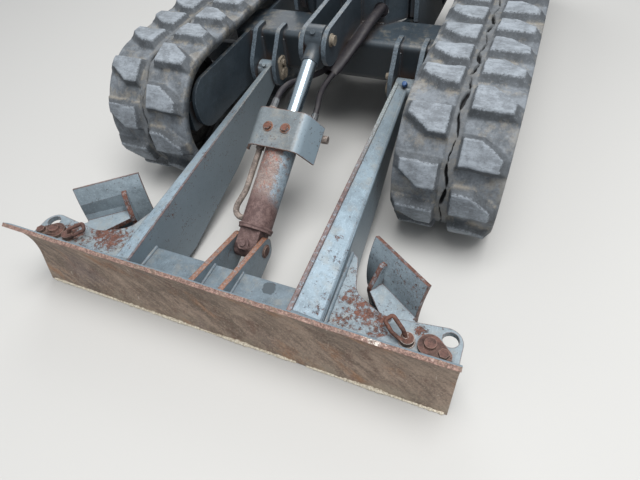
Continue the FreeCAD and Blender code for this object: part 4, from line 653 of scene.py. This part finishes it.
def add_piece(context, name, bm, body, slot, finish=None, sharp=None):
    """Finished piece from a bmesh, riding on its body: smooth, apart from edges sharper than an angle."""
    mesh = bpy.data.meshes.new(name)
    bm.to_mesh(mesh)
    bm.free()
    mesh.shade_smooth()
    if sharp:
        mesh.set_sharp_from_angle(angle=math.radians(sharp))
    mesh.materials.append(FINISH[finish or slot])
    made = bpy.data.objects.new(name, mesh)
    context.collection.objects.link(made)
    if body:
        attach(made, body)
    return made


def merged_copy(node):
    """Bmesh of a part of the frame with its loose triangles joined."""
    bm = bmesh.new()
    bm.from_mesh(frame["nodes"][node].data)
    bmesh.ops.remove_doubles(bm, verts=bm.verts, dist=1e-5)
    return bm


def mark_cut_edges(bm, narrow=0.003, wide=0.0145, slender=9):
    """Sets the number "cut" to 1 on long narrow surfaces between sharp edges: the cut edges of plates."""
    layer = bm.faces.layers.float.new("cut")
    seen = set()
    for seed in bm.faces:
        if seed in seen:
            continue
        patch, waiting = [], [seed]
        seen.add(seed)
        rim = 0.0
        while waiting:
            face = waiting.pop()
            patch.append(face)
            for edge in face.edges:
                if edge.calc_face_angle(math.pi) > 0.5:
                    rim += edge.calc_length()
                    continue
                for other in edge.link_faces:
                    if other not in seen:
                        seen.add(other)
                        waiting.append(other)
        width = 2 * sum(face.calc_area() for face in patch) / max(rim, 1e-6)
        if narrow < width < wide and rim / 2 > slender * width:
            for face in patch:
                face[layer] = 1.0


def turned_to(direction):
    """Rotation that takes Z to a direction."""
    return direction.to_track_quat("Z", "Y").to_matrix().to_4x4()


def sweep(bm, line, radius, segments=12):
    """Closed tube along a line of points."""
    start = Matrix.Translation(line[0]) @ turned_to(line[1] - line[0])
    bmesh.ops.create_circle(bm, cap_ends=True, segments=segments, radius=radius, matrix=start)
    edges = bm.edges[:]
    heading = (line[1] - line[0]).normalized()
    for i in range(1, len(line)):
        ahead = (line[min(i + 1, len(line) - 1)] - line[i - 1]).normalized()
        grown = bmesh.ops.extrude_edge_only(bm, edges=edges)["geom"]
        ring = [g for g in grown if isinstance(g, bmesh.types.BMVert)]
        edges = [g for g in grown if isinstance(g, bmesh.types.BMEdge)]
        turn = heading.rotation_difference(ahead).to_matrix()
        bmesh.ops.rotate(bm, verts=ring, cent=line[i - 1], matrix=turn)
        bmesh.ops.translate(bm, verts=ring, vec=line[i] - line[i - 1])
        heading = ahead
    bmesh.ops.contextual_create(bm, geom=edges)
    bmesh.ops.recalc_face_normals(bm, faces=bm.faces)


# Hoses

LEFT_HOSE = [(0.0496, 1.0723, 0.352), (0.0738, 1.0368, 0.352), (0.091, 0.985, 0.354), (0.098, 0.932, 0.357),
             (0.095, 0.882, 0.357), (0.088, 0.832, 0.353), (0.080, 0.785, 0.343), (0.072, 0.742, 0.328),
             (0.060, 0.703, 0.311), (0.048, 0.668, 0.295), (0.035, 0.628, 0.282), (0.029, 0.585, 0.275),
             (0.034, 0.543, 0.272), (0.044, 0.5053, 0.2629), (0.044, 0.474, 0.245)]
RIGHT_HOSE = [(0.0496, 1.0723, 0.331), (0.0738, 1.0368, 0.331), (0.080, 0.986, 0.337), (0.085, 0.933, 0.342),
              (0.084, 0.886, 0.343), (0.077, 0.840, 0.340), (0.068, 0.795, 0.333), (0.057, 0.752, 0.319),
              (0.043, 0.713, 0.301), (0.027, 0.677, 0.288), (0.010, 0.643, 0.284), (-0.008, 0.607, 0.286),
              (-0.026, 0.570, 0.293), (-0.040, 0.532, 0.303), (-0.048, 0.493, 0.2985),
              (-0.048, 0.4609, 0.2801)]
HOSE_DIAMETER = 0.014


class UNDERCARRIAGE_OT_hoses(bpy.types.Operator):
    """Lay both hoses of the lift cylinder, with their crimped ends"""
    bl_idname = "undercarriage.hoses"
    bl_label = "Hoses"
    wrap_start, wrap_end, wrap_sides = 0.625, 1.0, 20       # counted from the blade's edge
    slack_at_ends, more_slack = 0.0018, 0.0032
    hole_radius, slit_radius = 0.0197, 0.0100

    def execute(self, context):
        lines = []
        for node, points in (("lift_hose_left", LEFT_HOSE), ("lift_hose_right", RIGHT_HOSE)):
            lines.append(self.line([from_edge(*point) for point in points]))
            self.hose(context, node, lines[-1])
        self.wrap(context, *lines)
        self.grommet(context)
        return {"FINISHED"}

    def wrap(self, context, first, second):
        """Woven sleeve drawn over both hoses, from inside the frame to where they part."""
        bm = bmesh.new()
        ring = []
        covered = [p for p in first if self.wrap_start < p.y - EDGE_MIDDLE.y < self.wrap_end]
        for number, point in enumerate(covered):
            beside = min(second, key=lambda other: (other - point).length)
            across = beside - point
            ahead = (covered[min(number + 1, len(covered) - 1)] - covered[max(number - 1, 0)]).normalized()
            up = (across - ahead * across.dot(ahead)).normalized()
            out = ahead.cross(up)
            end = min(number, len(covered) - 1 - number)
            slack = self.slack_at_ends + self.more_slack * min(1.0, end / 4)
            tall, thick = across.length / 2 + HOSE_DIAMETER / 2 + slack, HOSE_DIAMETER / 2 + slack
            middle_of = point + across / 2
            loop = []
            for i in range(self.wrap_sides):
                turn = 2 * math.pi * i / self.wrap_sides
                fold = 1 + 0.05 * noise.noise(Vector((number * 0.45, math.cos(turn) * 2, math.sin(turn) * 2)))
                loop.append(middle_of + (up * tall * math.sin(turn) + out * thick * math.cos(turn)) * fold)
            ring.append(loop)
        order = bmesh.ops.create_circle(bm, segments=self.wrap_sides, radius=1.0)["verts"]
        edges = bm.edges[:]
        for vert, spot in zip(order, ring[0]):
            vert.co = spot
        for loop in ring[1:]:
            grown = bmesh.ops.extrude_edge_only(bm, edges=edges)["geom"]
            new = [g for g in grown if isinstance(g, bmesh.types.BMVert)]
            edges = [g for g in grown if isinstance(g, bmesh.types.BMEdge)]
            pairs = [min(new, key=lambda v, base=base: (v.co - base.co).length) for base in order]
            for vert, spot in zip(pairs, loop):
                vert.co = spot
            order = pairs
        bmesh.ops.solidify(bm, geom=bm.faces[:], thickness=0.0012)
        bmesh.ops.recalc_face_normals(bm, faces=bm.faces)
        sleeve = add_piece(context, "hose_wrap", bm, None, "hose_rubber")
        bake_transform(sleeve)

    def grommet(self, context):
        """Rubber disc that closes the hole in the front plate round the wrapped hoses."""
        bm = bmesh.new()
        hole = from_edge(0.089, FRONT_PLATE_Y + 0.004, 0.349)
        wide = bmesh.ops.create_circle(bm, segments=24, radius=self.hole_radius)["verts"]
        slit = bmesh.ops.create_circle(bm, segments=24, radius=self.slit_radius)["verts"]
        bmesh.ops.scale(bm, verts=slit, vec=(1, 1.45, 1))
        bmesh.ops.bridge_loops(bm, edges=bm.edges[:])
        upright = Matrix.Translation(hole) @ Matrix.Rotation(math.pi / 2, 4, "X")
        bmesh.ops.transform(bm, verts=wide + slit, matrix=upright)
        bmesh.ops.solidify(bm, geom=bm.faces[:], thickness=0.003)
        bmesh.ops.recalc_face_normals(bm, faces=bm.faces)
        add_piece(context, "hose_grommet", bm, "frame", "hose_rubber", sharp=40)

    def hose(self, context, node, line):
        """One hose along its smooth line, with a crimped sleeve at each end."""
        bm = bmesh.new()
        sweep(bm, line, HOSE_DIAMETER / 2)
        tube = add_piece(context, node + "_tube", bm, None, "hose_rubber")
        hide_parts(node)
        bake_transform(tube)
        sleeves = [self.sleeve(context, node + "_sleeve_frame", line[0], line[4], "frame"),
                   self.sleeve(context, node + "_sleeve_cylinder", line[-1], line[-5], "cylinder_barrel")]

    def line(self, points):
        """Points read from the smooth curve that the route's points control."""
        data = bpy.data.curves.new("Hose line", "CURVE")
        data.dimensions = "3D"
        spline = data.splines.new("NURBS")
        spline.points.add(len(points) - 1)
        for knot, point in zip(spline.points, points):
            knot.co = (*point, 1)
        spline.order_u = 3
        spline.use_endpoint_u = True
        spline.resolution_u = 8
        holder = bpy.data.objects.new("Hose line", data)
        mesh = bpy.data.meshes.new_from_object(holder)
        line = [vert.co.copy() for vert in mesh.vertices]
        bpy.data.meshes.remove(mesh)
        bpy.data.objects.remove(holder)
        bpy.data.curves.remove(data)
        return line

    def sleeve(self, context, name, end, inward, body):
        """Crimped sleeve over a hose's end."""
        bm = bmesh.new()
        way = (inward - end).normalized()
        frame_of = Matrix.Translation(end + way * 0.0115) @ turned_to(way)
        bmesh.ops.create_cone(bm, cap_ends=True, segments=16, radius1=0.0092, radius2=0.0086, depth=0.023,
                              matrix=frame_of)
        sides = [f for f in bm.faces if len(f.verts) == 4]
        bmesh.ops.inset_individual(bm, faces=sides, thickness=0.0008, depth=-0.0006)
        return add_piece(context, name, bm, body, "pipe_steel", finish="crimp_steel", sharp=40)


# Tracks

class UNDERCARRIAGE_OT_tracks(bpy.types.Operator):
    """Mould the rubber tracks: a belt with two staggered rows of worn lugs and guide horns inside"""
    bl_idname = "undercarriage.tracks"
    bl_label = "Tracks"
    rows_to_link = 30
    crown_inner, crown_outer = 0.018, 0.099
    crown_half, crown_narrow, crown_knee = 0.030, 0.027, 0.45
    strip_half, strip_slope = 0.011, 0.004
    crack_half, crack_slant = 0.0232, 0.0045
    grain, scars = 0.0008, 0.0016
    horn_x, horn_width, horn_length = 0.027, 0.014, 0.034

    def execute(self, context):
        settings = context.scene.undercarriage_track
        low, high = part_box("rubber_track_left")
        self.floor = low.z - (high.z + low.z) / 2
        self.half_width = (high.x - low.x) / 2
        self.crown_radius = (high.z - low.z) / 2
        self.belt_radius = self.crown_radius - settings.lug_height
        self.inner_radius = self.belt_radius - settings.belt_thickness
        self.axle_z = middle("idler_left").z
        self.idler_y = middle("idler_left").y
        self.total = settings.links * settings.pitch
        self.straight = 2 * (SLEW_CENTRE.y - self.idler_y)
        self.bend = self.total / 2 - self.straight
        for side, _ in SIDES:
            if side == "left":
                bm = self.belt(settings)
                shift = TRACK_X
            else:
                bm = bmesh.new()
                bm.from_mesh(made.data)
                shift = middle("rubber_track_right").x - TRACK_X
            bmesh.ops.translate(bm, verts=bm.verts, vec=(shift, 0, 0))
            made = add_piece(context, "belt_" + side, bm, "crawler_" + side, "track_rubber")
            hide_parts("rubber_track_" + side)
        return {"FINISHED"}

    def place(self, along):
        """Middle of the bend, and turn of the belt, at a distance along the loop from above the idler."""
        along %= self.total
        if along < self.straight:
            return self.idler_y + along, 0.0
        along -= self.straight
        if along < self.bend:
            return self.idler_y + self.straight, math.pi * along / self.bend
        along -= self.bend
        if along < self.straight:
            return self.idler_y + self.straight - along, math.pi
        along -= self.straight
        return self.idler_y, math.pi + math.pi * along / self.bend

    def columns(self):
        """Distances across the belt, closer together at the middle strip where the splits are."""
        edge = [self.half_width - 0.0015, self.half_width]
        outer = [self.strip_half + 0.0031 * i for i in range(1, 33)]
        outer = [x for x in outer if x < self.half_width - 0.004] + edge
        inner = [self.strip_half / 9 * i for i in range(-9, 10)]
        return [-x for x in outer[::-1]] + inner + outer

    def lug_reach(self, along, row, settings):
        """Height of the crown's plane over the belt, and place along the crown, for the nearest lug."""
        shift = 0.5 if row > 0 else 0.0
        lug = (round(along / settings.pitch - shift) + shift) * settings.pitch
        y, turn = self.place(along)
        lug_y, lug_turn = self.place(lug)
        lean = math.cos(turn - lug_turn)
        if lean < 0.5:
            return None
        away = y - lug_y + self.belt_radius * math.sin(turn), self.belt_radius * math.cos(turn)
        up = away[0] * math.sin(lug_turn) + away[1] * math.cos(lug_turn)
        height = (self.crown_radius - up) / lean
        spot = away[0] + height * math.sin(turn), away[1] + height * math.cos(turn)
        return height, spot[0] * math.cos(lug_turn) - spot[1] * math.sin(lug_turn)

    def inside(self, across, along):
        """Distance inside a crown's outline, less than 0 outside it."""
        knee = self.crown_inner + (self.crown_outer - self.crown_inner) * self.crown_knee
        slope = Vector((knee - self.crown_outer, 2 * self.crown_half - self.crown_narrow)).normalized()
        to_corner = Vector((across - knee, along - self.crown_half))
        return min((across - self.crown_inner) * 1.8, self.crown_half + along, self.crown_half - along,
                   (self.crown_outer - across) * 0.72, to_corner.x * -slope.y + to_corner.y * slope.x)

    def belt(self, settings):
        """The belt's outer face as a grid laid round the loop, closed by its sides, inner face and horns."""
        columns = self.columns()
        rows = settings.links * self.rows_to_link
        bm = bmesh.new()
        bmesh.ops.create_grid(bm, x_segments=len(columns) - 1, y_segments=rows, size=1.0)
        crown = bm.verts.layers.float.new("crown")
        station = bm.verts.layers.float.new("station")
        reach = {}
        for vert in bm.verts:
            across = columns[round((vert.co.x + 1) / 2 * (len(columns) - 1))]
            row = round((vert.co.y + 1) / 2 * rows) % rows
            along = row * self.total / rows
            way = 1 if across > 0 else -1
            if (row, way) not in reach:
                reach[row, way] = self.lug_reach(along, way, settings)
            height, share = self.height(across, along, way, reach[row, way], settings)
            vert[crown] = share
            vert[station] = along
            y, turn = self.place(along)
            radius = self.belt_radius + height
            z = max(self.floor, radius * math.cos(turn))
            vert.co = (across, y + radius * math.sin(turn), self.axle_z + z)
        bmesh.ops.remove_doubles(bm, verts=bm.verts, dist=1e-6)
        rims = [e for e in bm.edges if e.is_boundary]
        grown = bmesh.ops.extrude_edge_only(bm, edges=rims)["geom"]
        for vert in grown:
            if isinstance(vert, bmesh.types.BMVert):
                y, turn = self.place(vert[station])
                vert[crown] = 0.4
                vert.co.y = y + self.inner_radius * math.sin(turn)
                vert.co.z = self.axle_z + self.inner_radius * math.cos(turn)
        bmesh.ops.bridge_loops(bm, edges=[e for e in grown if isinstance(e, bmesh.types.BMEdge)])
        bmesh.ops.recalc_face_normals(bm, faces=bm.faces)
        self.horns(bm, crown, settings)
        return bm

    def height(self, across, along, way, reach, settings):
        """Height over the belt, and share of the crown from 0 to 1, less than 0 in a split."""
        spot = Vector((across * way, along, 0))
        rough = noise.noise(spot * 24) + 0.3 * noise.noise(spot * 60)
        height = self.grain * rough
        share = 0.0
        if reach:
            inward = self.inside(across * way, reach[1] * way) + settings.wear * (rough - 0.3)
            share = max(0.0, min(1.0, 1 + inward / settings.lug_draft))
            height += (reach[0] - self.scars * abs(noise.noise(spot * 17))) * share ** 1.7
        strip_end = self.strip_half + self.strip_slope
        if abs(across) < strip_end:
            fall = min(1.0, (strip_end - abs(across)) / self.strip_slope)
            height = max(height, (settings.strip + 0.0032 * rough) * fall)
            number = round(along / settings.pitch * 2)
            beside = (along - number * settings.pitch / 2) / self.crack_half
            if abs(beside) < 1:
                slant = self.crack_slant * (1 if number % 2 else -1)
                torn = noise.noise(Vector((along * 60, number, 0)))
                torn += 0.5 * noise.noise(Vector((along * 210, 3, 0)))
                wideness = 0.25 + 1.15 * abs(math.sin(number * 2.3)) ** 2
                width = settings.crack_width * (1 - beside ** 4) * wideness
                split = 1 - abs(across - slant * beside - 0.003 * torn) / max(width, 1e-4)
                if split > 0:
                    height -= settings.crack_depth * min(1.0, 2.2 * split)
                    share = -min(1.0, 2.0 * split)
        if abs(across) > self.half_width - 0.001:
            height -= 0.003
        return height, share

    def horns(self, bm, crown, settings):
        """Two tapered horns at each whole pitch, which guide the track past its wheels."""
        for link in range(settings.links):
            y, turn = self.place(link * settings.pitch)
            for way in (1, -1):
                radius = self.inner_radius + 0.002 - settings.horn_height / 2
                bend = Matrix.Translation((way * self.horn_x, y, self.axle_z))
                bend = bend @ Matrix.Rotation(-turn, 4, "X")
                shape = Matrix.Diagonal((self.horn_width, self.horn_length, settings.horn_height + 0.003, 1))
                place = bend @ Matrix.Translation((0, 0, radius)) @ shape
                made = bmesh.ops.create_cube(bm, size=1.0, matrix=place)["verts"]
                middle_of = sum((v.co for v in made), Vector()) / 8
                out = Vector((0, math.sin(turn), math.cos(turn)))
                for vert in made:
                    vert[crown] = 0.4
                    if (vert.co - middle_of).dot(out) < 0:
                        away = vert.co - middle_of
                        flat = away - out * away.dot(out)
                        vert.co -= flat * 0.3


# Blade

class UNDERCARRIAGE_OT_blade(bpy.types.Operator):
    """Dent the blade's plate and cutting edge, and lay dried clay along the bottom"""
    bl_idname = "undercarriage.blade"
    bl_label = "Blade plates"

    def execute(self, context):
        settings = context.scene.undercarriage_plate
        for node in ("moldboard", "cutting_edge"):
            bm = merged_copy(node)
            self.cut_up(bm)
            self.dent(bm, settings)
            mark_cut_edges(bm)
            made = add_piece(context, node + "_worn", bm, "blade", "rusted_steel", sharp=30)
            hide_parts(node)
        self.crust(context, settings)
        return {"FINISHED"}

    def cut_up(self, bm):
        """Edges across the plate every 15 mm and level edges between, so that it can bend."""
        low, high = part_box("moldboard")
        fields = 66
        cuts = [(X_AXIS * (low.x + (high.x - low.x) * i / fields), X_AXIS) for i in range(1, fields)]
        cuts += [(Z_AXIS * z, Z_AXIS) for z in (0.02, 0.045, 0.09, 0.12, 0.15, 0.18)]
        for place, way in cuts:
            whole = bm.verts[:] + bm.edges[:] + bm.faces[:]
            bmesh.ops.bisect_plane(bm, geom=whole, plane_co=place, plane_no=way)

    def dent(self, bm, settings):
        """Slow waves in the plate and nicks in its top and bottom edges."""
        for vert in bm.verts:
            x, z = vert.co.x, vert.co.z
            wave = noise.noise(Vector((x * 6, 0, z * 7))) + 0.4 * noise.noise(Vector((x * 26, 3, z * 22)))
            vert.co.y += settings.dent * wave
            nick = noise.noise(Vector((x * 42, 7, 0))) + 0.5 * noise.noise(Vector((x * 120, 9, 0)))
            if z > TOP_EDGE - 0.004:
                vert.co.z += 0.0013 * nick - 0.0008
            elif z < 0.002:
                vert.co.z = max(0.0, vert.co.z + 0.0012 * nick)

    def crust(self, context, settings):
        """Lumps of dried clay along the bottom edge."""
        low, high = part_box("cutting_edge")
        bm = bmesh.new()
        x = low.x + 0.01
        while x < high.x - 0.01:
            thick = noise.noise(Vector((x * 13, 5, 0)))
            size = settings.crust * (0.8 + 0.8 * noise.noise(Vector((x * 300, 1, 0))) + 0.8 * thick)
            size = max(size, 0.001)
            place = Matrix.Translation((x, low.y - 0.1 * size, size * 0.8))
            place = place @ Matrix.Diagonal((1.3, 1.0, 0.9, 1))
            if thick > -0.3:
                made = bmesh.ops.create_icosphere(bm, subdivisions=1, radius=size, matrix=place)["verts"]
                for vert in made:
                    lump = Vector((noise.noise(vert.co * 700), 0, noise.noise(vert.co * 900)))
                    vert.co += lump * size * 0.3
                    vert.co.z = max(vert.co.z, 0.0)
            x += size * 0.9
        add_piece(context, "edge_clay", bm, "blade", "rusted_steel", finish="clay")


# Welds

class UNDERCARRIAGE_OT_welds(bpy.types.Operator):
    """Lay the welds that join the plates"""
    bl_idname = "undercarriage.welds"
    bl_label = "Welds"

    def execute(self, context):
        size = context.scene.undercarriage_plate.weld
        plate = merged_copy("moldboard")
        self.blade_back = BVHTree.FromBMesh(plate)
        plate.free()
        self.blade_welds(context, size)
        self.frame_welds(context, size)
        self.barrel_weld(context, size)
        return {"FINISHED"}

    def bead(self, bm, points, size):
        """Overlapping scales of weld metal along a line of points."""
        for start, end in zip(points, points[1:]):
            run = end - start
            steps = max(1, round(run.length / (size * 0.62)))
            turn = turned_to(run.normalized())
            for i in range(steps):
                spot = start + run * (i / steps)
                rough = 1 + 0.16 * noise.noise(spot * 90) + 0.08 * noise.noise(spot * 400)
                shape = Matrix.Diagonal((size * rough, size * rough, size * 0.62, 1))
                bmesh.ops.create_uvsphere(bm, u_segments=8, v_segments=5, radius=1.0,
                                          matrix=Matrix.Translation(spot) @ turn @ shape)

    def behind_blade(self, x, z):
        """Place on the back of the blade's plate."""
        hit = self.blade_back.ray_cast(from_edge(x, 0.3, z), -Y_AXIS)[0]
        return hit if hit else from_edge(x, 0.02, z)

    def blade_welds(self, context, size):
        """Welds of the arms, gussets, box plate and bracket."""
        bm = bmesh.new()
        top = LUG_TOP
        for _, way in SIDES:
            gusset = [from_edge(way * (0.245 - 0.05 * y), y, top) for y in (0.03, 0.09, 0.15, 0.211)]
            self.bead(bm, gusset, size * 1.15)
            across = (0.186, 0.205, 0.225, 0.240)
            self.bead(bm, [self.behind_blade(way * x, 0.174 - 0.42 * (x - 0.184)) for x in across], size)
            self.bead(bm, [self.behind_blade(way * x, top) for x in (0.25, 0.32, 0.40, 0.488)], size)
            self.bead(bm, [from_edge(way * 0.179, y, top) for y in (0.03, 0.09)], size)
            for x in (0.040, 0.028):
                self.bead(bm, [from_edge(way * x, y, top) for y in (0.032, 0.09)], size * 0.8)
        self.bead(bm, [self.behind_blade(x, top) for x in (-0.178, -0.09, 0, 0.09, 0.178)], size * 1.1)
        add_piece(context, "blade_welds", bm, "blade", "worn_paint", finish="weld_paint")

    def frame_welds(self, context, size):
        """Welds of the lugs on the front beam and the front plate."""
        bm = bmesh.new()
        beam_low, beam_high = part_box("front_guide_box")
        lug_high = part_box("lift_lugs")[1]
        for _, way in SIDES:
            for x in (0.161, 0.173, 0.229, 0.241):
                ends = (beam_low.z + 0.02, beam_high.z - 0.02)
                self.bead(bm, [Vector((way * x, beam_low.y, z)) for z in ends], size * 0.8)
            for x in (0.023, 0.035):
                ends = (beam_high.z + 0.004, lug_high.z - 0.004)
                self.bead(bm, [Vector((way * x, lug_high.y, z)) for z in ends], size * 0.8)
        self.bead(bm, [from_edge(x, FRONT_PLATE_Y, beam_high.z) for x in (-0.1, 0, 0.1)], size)
        add_piece(context, "frame_welds", bm, "frame", "frame_paint", finish="frame_weld")

    def barrel_weld(self, context, size):
        """Ring of weld where the tube meets its foot."""
        bm = bmesh.new()
        radius, along = 0.0365, 0.046
        turns = [math.pi * i / 12 for i in range(25)]
        ring = [on_lift(radius * math.cos(turn), along, radius * math.sin(turn)) for turn in turns]
        self.bead(bm, ring, size * 0.7)
        add_piece(context, "barrel_weld", bm, "cylinder_barrel", "rusty_barrel")


# Other parts

class UNDERCARRIAGE_OT_dress(bpy.types.Operator):
    """Smooth the rest of the frame's parts and mark the cut edges of their plates for rust"""
    bl_idname = "undercarriage.dress"
    bl_label = "Dress"

    def execute(self, context):
        made_already = ("moldboard", "cutting_edge", "rubber_track", "lift_hose")
        smallest_flat, rim_width = 0.0006, 0.0006           # in square metres and in metres
        for part in frame["record"]["subparts"]:
            node = part["node"]
            if node.startswith(made_already):
                continue
            bm = merged_copy(node)
            bmesh.ops.dissolve_limit(bm, angle_limit=math.radians(0.4), verts=bm.verts, edges=bm.edges)
            mark_cut_edges(bm)
            flats = [f for f in bm.faces if f.calc_area() > smallest_flat]
            bmesh.ops.inset_individual(bm, faces=flats, thickness=rim_width, use_even_offset=True)
            slot = part["material_slot"]
            made = add_piece(context, node + "_dressed", bm, BODY_OF[node], slot, NODE_FINISH.get(node), 30)
            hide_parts(node)
        return {"FINISHED"}


# Small parts

class UNDERCARRIAGE_OT_caps(bpy.types.Operator):
    """Put the blue cap on the grease nipple of the left arm"""
    bl_idname = "undercarriage.caps"
    bl_label = "Nipple cap"

    def execute(self, context):
        bm = bmesh.new()
        way = Vector((0, -0.62, 0.78)).normalized()
        middle_of = ARM_PIVOT + X_AXIS * 0.204 + way * 0.040
        bmesh.ops.create_cone(bm, cap_ends=True, segments=16, radius1=0.0075, radius2=0.0062, depth=0.012,
                              matrix=Matrix.Translation(middle_of) @ turned_to(way))
        edges = [e for e in bm.edges if e.calc_face_angle(0) > 1.0]
        bmesh.ops.bevel(bm, geom=edges, offset=0.0015, segments=3, profile=0.5, affect="EDGES", material=-1)
        add_piece(context, "nipple_cap", bm, "blade", "worn_paint", finish="blue_cap", sharp=40)
        return {"FINISHED"}


# Stage

class UNDERCARRIAGE_OT_stage(bpy.types.Operator):
    """Add the camera, the lamps and the floor"""
    bl_idname = "undercarriage.stage"
    bl_label = "Stage"

    def execute(self, context):
        settings = context.scene.undercarriage_stage
        self.camera(context, settings)
        self.light(context, settings)
        self.floor(context, settings.floor_colour)
        return {"FINISHED"}

    def camera(self, context, settings):
        """Camera at the photograph's viewing angle."""
        look = Vector((math.sin(settings.yaw) * math.cos(settings.pitch),
                       math.cos(settings.yaw) * math.cos(settings.pitch), -math.sin(settings.pitch)))
        right = look.cross(Z_AXIS).normalized()
        down = look.cross(right)
        turned_right = math.cos(settings.roll) * right + math.sin(settings.roll) * down
        turned_down = -math.sin(settings.roll) * right + math.cos(settings.roll) * down
        data = bpy.data.cameras.new("Camera")
        data.lens = settings.lens
        data.sensor_width = 36.0
        camera = bpy.data.objects.new("Camera", data)
        axes = Matrix((turned_right, -turned_down, -look)).transposed().to_4x4()
        camera.matrix_world = Matrix.Translation(settings.camera_place) @ axes
        context.collection.objects.link(camera)
        context.scene.camera = camera

    def lamp(self, context, name, place, size, power):
        """Square lamp that looks at the arms of the blade."""
        target = Vector((0, -0.4, 0))
        data = bpy.data.lights.new(name, "AREA")
        data.size = size
        data.energy = power
        lamp = bpy.data.objects.new(name, data)
        lamp.location = place
        lamp.rotation_euler = (target - Vector(place)).to_track_quat("-Z", "Y").to_euler()
        context.collection.objects.link(lamp)

    def light(self, context, settings):
        """Even sky and two soft lamps."""
        world = bpy.data.worlds.new("Sky")
        context.scene.world = world
        world.use_nodes = True
        background = world.node_tree.nodes["Background"]
        background.inputs["Color"].default_value = (0.93, 0.96, 1.0, 1.0)
        background.inputs["Strength"].default_value = settings.sky_strength
        self.lamp(context, "Key lamp", (0.7, -1.0, 3.2), 2.0, settings.key_power)
        self.lamp(context, "Back lamp", (-1.6, 2.2, 2.6), 2.0, settings.fill_power)
        context.scene.view_settings.view_transform = "Standard"

    def floor(self, context, colour):
        """Pale floor."""
        bm = bmesh.new()
        bmesh.ops.create_grid(bm, x_segments=1, y_segments=1, size=15.0)
        mesh = bpy.data.meshes.new("Floor")
        bm.to_mesh(mesh)
        bm.free()
        floor = bpy.data.objects.new("Floor", mesh)
        mesh.materials.append(Surface("Floor", tuple(colour)).close(0.9))
        context.collection.objects.link(floor)


class UNDERCARRIAGE_PT_panel(bpy.types.Panel):
    """Lists the steps in the sidebar"""
    bl_label = "Undercarriage"
    bl_idname = "UNDERCARRIAGE_PT_panel"
    bl_space_type = "VIEW_3D"
    bl_region_type = "UI"
    bl_category = "Undercarriage"

    def draw(self, context):
        for name in SETTINGS:
            group = getattr(context.scene, name)
            for key in group.bl_rna.properties.keys()[2:]:
                self.layout.prop(group, key)
        for step in STEPS:
            self.layout.operator(step.bl_idname)


SETTINGS = {"undercarriage_stage": StageSettings, "undercarriage_finish": FinishSettings,
            "undercarriage_track": TrackSettings, "undercarriage_plate": PlateSettings}
STEPS = (UNDERCARRIAGE_OT_stage, UNDERCARRIAGE_OT_finish, UNDERCARRIAGE_OT_hoses, UNDERCARRIAGE_OT_tracks,
         UNDERCARRIAGE_OT_blade, UNDERCARRIAGE_OT_welds, UNDERCARRIAGE_OT_dress, UNDERCARRIAGE_OT_caps)
CLASSES = (*SETTINGS.values(), *STEPS, UNDERCARRIAGE_PT_panel)


def register():
    for item in CLASSES:
        bpy.utils.register_class(item)
    for name, group in SETTINGS.items():
        setattr(bpy.types.Scene, name, PointerProperty(type=group))


def unregister():
    for name in SETTINGS:
        delattr(bpy.types.Scene, name)
    for item in reversed(CLASSES):
        bpy.utils.unregister_class(item)


def main():
    """Makes every piece."""
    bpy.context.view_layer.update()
    register()
    for step in STEPS:
        area, action = step.bl_idname.split(".")
        getattr(getattr(bpy.ops, area), action)()


if __name__ == "__main__":
    main()
